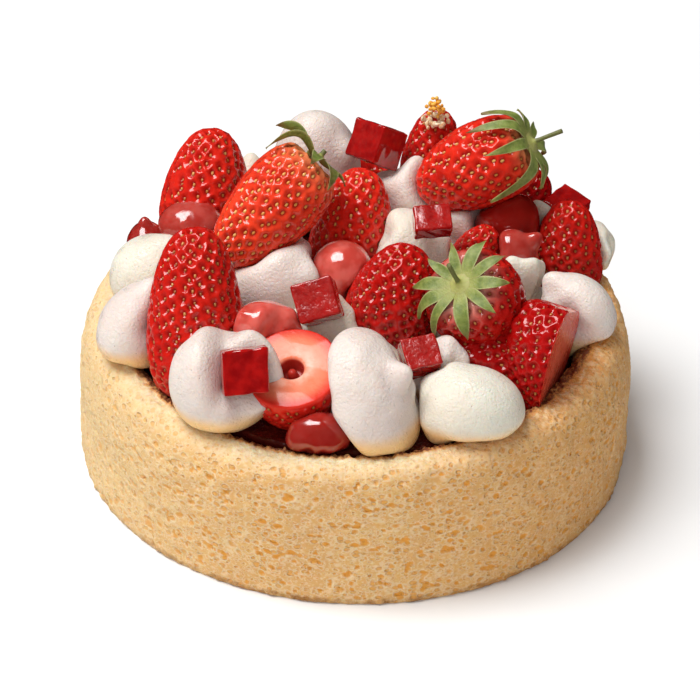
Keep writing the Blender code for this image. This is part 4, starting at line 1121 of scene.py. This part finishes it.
ANTHER = flower_material("anther", (0.83, 0.33, 0.02), (0.90, 0.55, 0.10))
FLORET = flower_material("floret", (0.90, 0.80, 0.58), (0.72, 0.42, 0.20))
add_piece("blossom_head", blossom_shape(), [ANTHER, FLORET], ["blossom"])

# %% [markdown]
# ## Floor, light and camera
# The cake stands on a white table that the light burns out, with one soft shadow to its right, so the key is
# a large soft box high on the left. The reds of the photograph are deep even where they face the table, so
# the table lights the cake but leaves no reflection on it. The camera looks down by 34 degrees with a long
# lens, turned by less than two degrees as the photograph is.

# %% Floor
def floor_material():
    """Plain white with the faintest drift, so that it still has a pattern of its own."""
    material, tree, shader = new_material("white_table", Roughness=0.9)
    wire(tree, shader, Base_Color=mix(tree, noise(tree, coordinates(tree), 400.0),
                                      (0.93, 0.93, 0.93), (0.95, 0.95, 0.945)))
    return material


FLOOR_SIZE = 9000.0
spread = FLOOR_SIZE / 2 * MM
corners = [(-spread, -spread, 0), (spread, -spread, 0), (spread, spread, 0), (-spread, spread, 0)]
floor_mesh = bpy.data.meshes.new("table")
floor_mesh.from_pydata(corners, [], [(0, 1, 2, 3)])
floor_mesh.materials.append(floor_material())
floor = bpy.data.objects.new("table", floor_mesh)
bpy.context.scene.collection.objects.link(floor)
floor.visible_glossy = False

# %% Lights
def soft_box(name, place, size, strength, mirrored=True):
    """A square area light that looks at the cake. The strength is the share of full white that it gives a
    surface facing it: power = strength * (pi * distance)^2. A light that is not mirrored leaves no
    highlight."""
    light = bpy.data.lights.new(name, "AREA")
    light.shape = "SQUARE"
    light.size = size * MM
    distance = (Vector(place) - CAMERA_AIM).length * MM
    light.energy = strength * (math.pi * distance) ** 2
    lamp = bpy.data.objects.new(name, light)
    lamp.location = Vector(place) * MM
    lamp.rotation_euler = (Vector(place) - CAMERA_AIM).to_track_quat("Z", "Y").to_euler()
    lamp.visible_glossy = mirrored
    bpy.context.scene.collection.objects.link(lamp)


CAMERA_AIM = Vector((-1.58, 0.0, 30.61))
soft_box("key", (-860.0, 20.0, 2050.0), 1300.0, 1.08)
soft_box("front", (-300.0, -2000.0, 1100.0), 1500.0, 0.26, mirrored=False)

SKY_STRENGTH = 0.22
world = bpy.data.worlds.new("studio")
world.use_nodes = True
sky = world.node_tree
background = sky.nodes["Background"]
background.inputs["Color"].default_value = (1.0, 1.0, 1.0, 1.0)
unmirrored = calculate(sky, "SUBTRACT", 1.0, add(sky, "LightPath", {}).outputs["Is Glossy Ray"])
wire(sky, background, Strength=times(sky, unmirrored, SKY_STRENGTH))
bpy.context.scene.world = world
bpy.context.scene.view_settings.view_transform = "Standard"
bpy.context.scene.view_settings.look = "None"

# %% Camera
CAMERA_DISTANCE = 900.0
CAMERA_HEIGHT_ANGLE = math.radians(34.46)
CAMERA_LENS = 157.99
CAMERA_ROLL = math.radians(-1.85)

back = Vector((0.0, -math.cos(CAMERA_HEIGHT_ANGLE), math.sin(CAMERA_HEIGHT_ANGLE)))
level = Vector((1.0, 0.0, 0.0))
upward = back.cross(level)
right = level * math.cos(CAMERA_ROLL) - upward * math.sin(CAMERA_ROLL)
above = level * math.sin(CAMERA_ROLL) + upward * math.cos(CAMERA_ROLL)
pose = Matrix((right, above, back)).transposed().to_4x4()
pose.translation = (CAMERA_AIM + back * CAMERA_DISTANCE) * MM
lens = bpy.data.cameras.new("camera")
lens.lens = CAMERA_LENS
lens.sensor_width = 36.0
camera = bpy.data.objects.new("camera", lens)
camera.matrix_world = pose
bpy.context.scene.collection.objects.link(camera)
bpy.context.scene.camera = camera
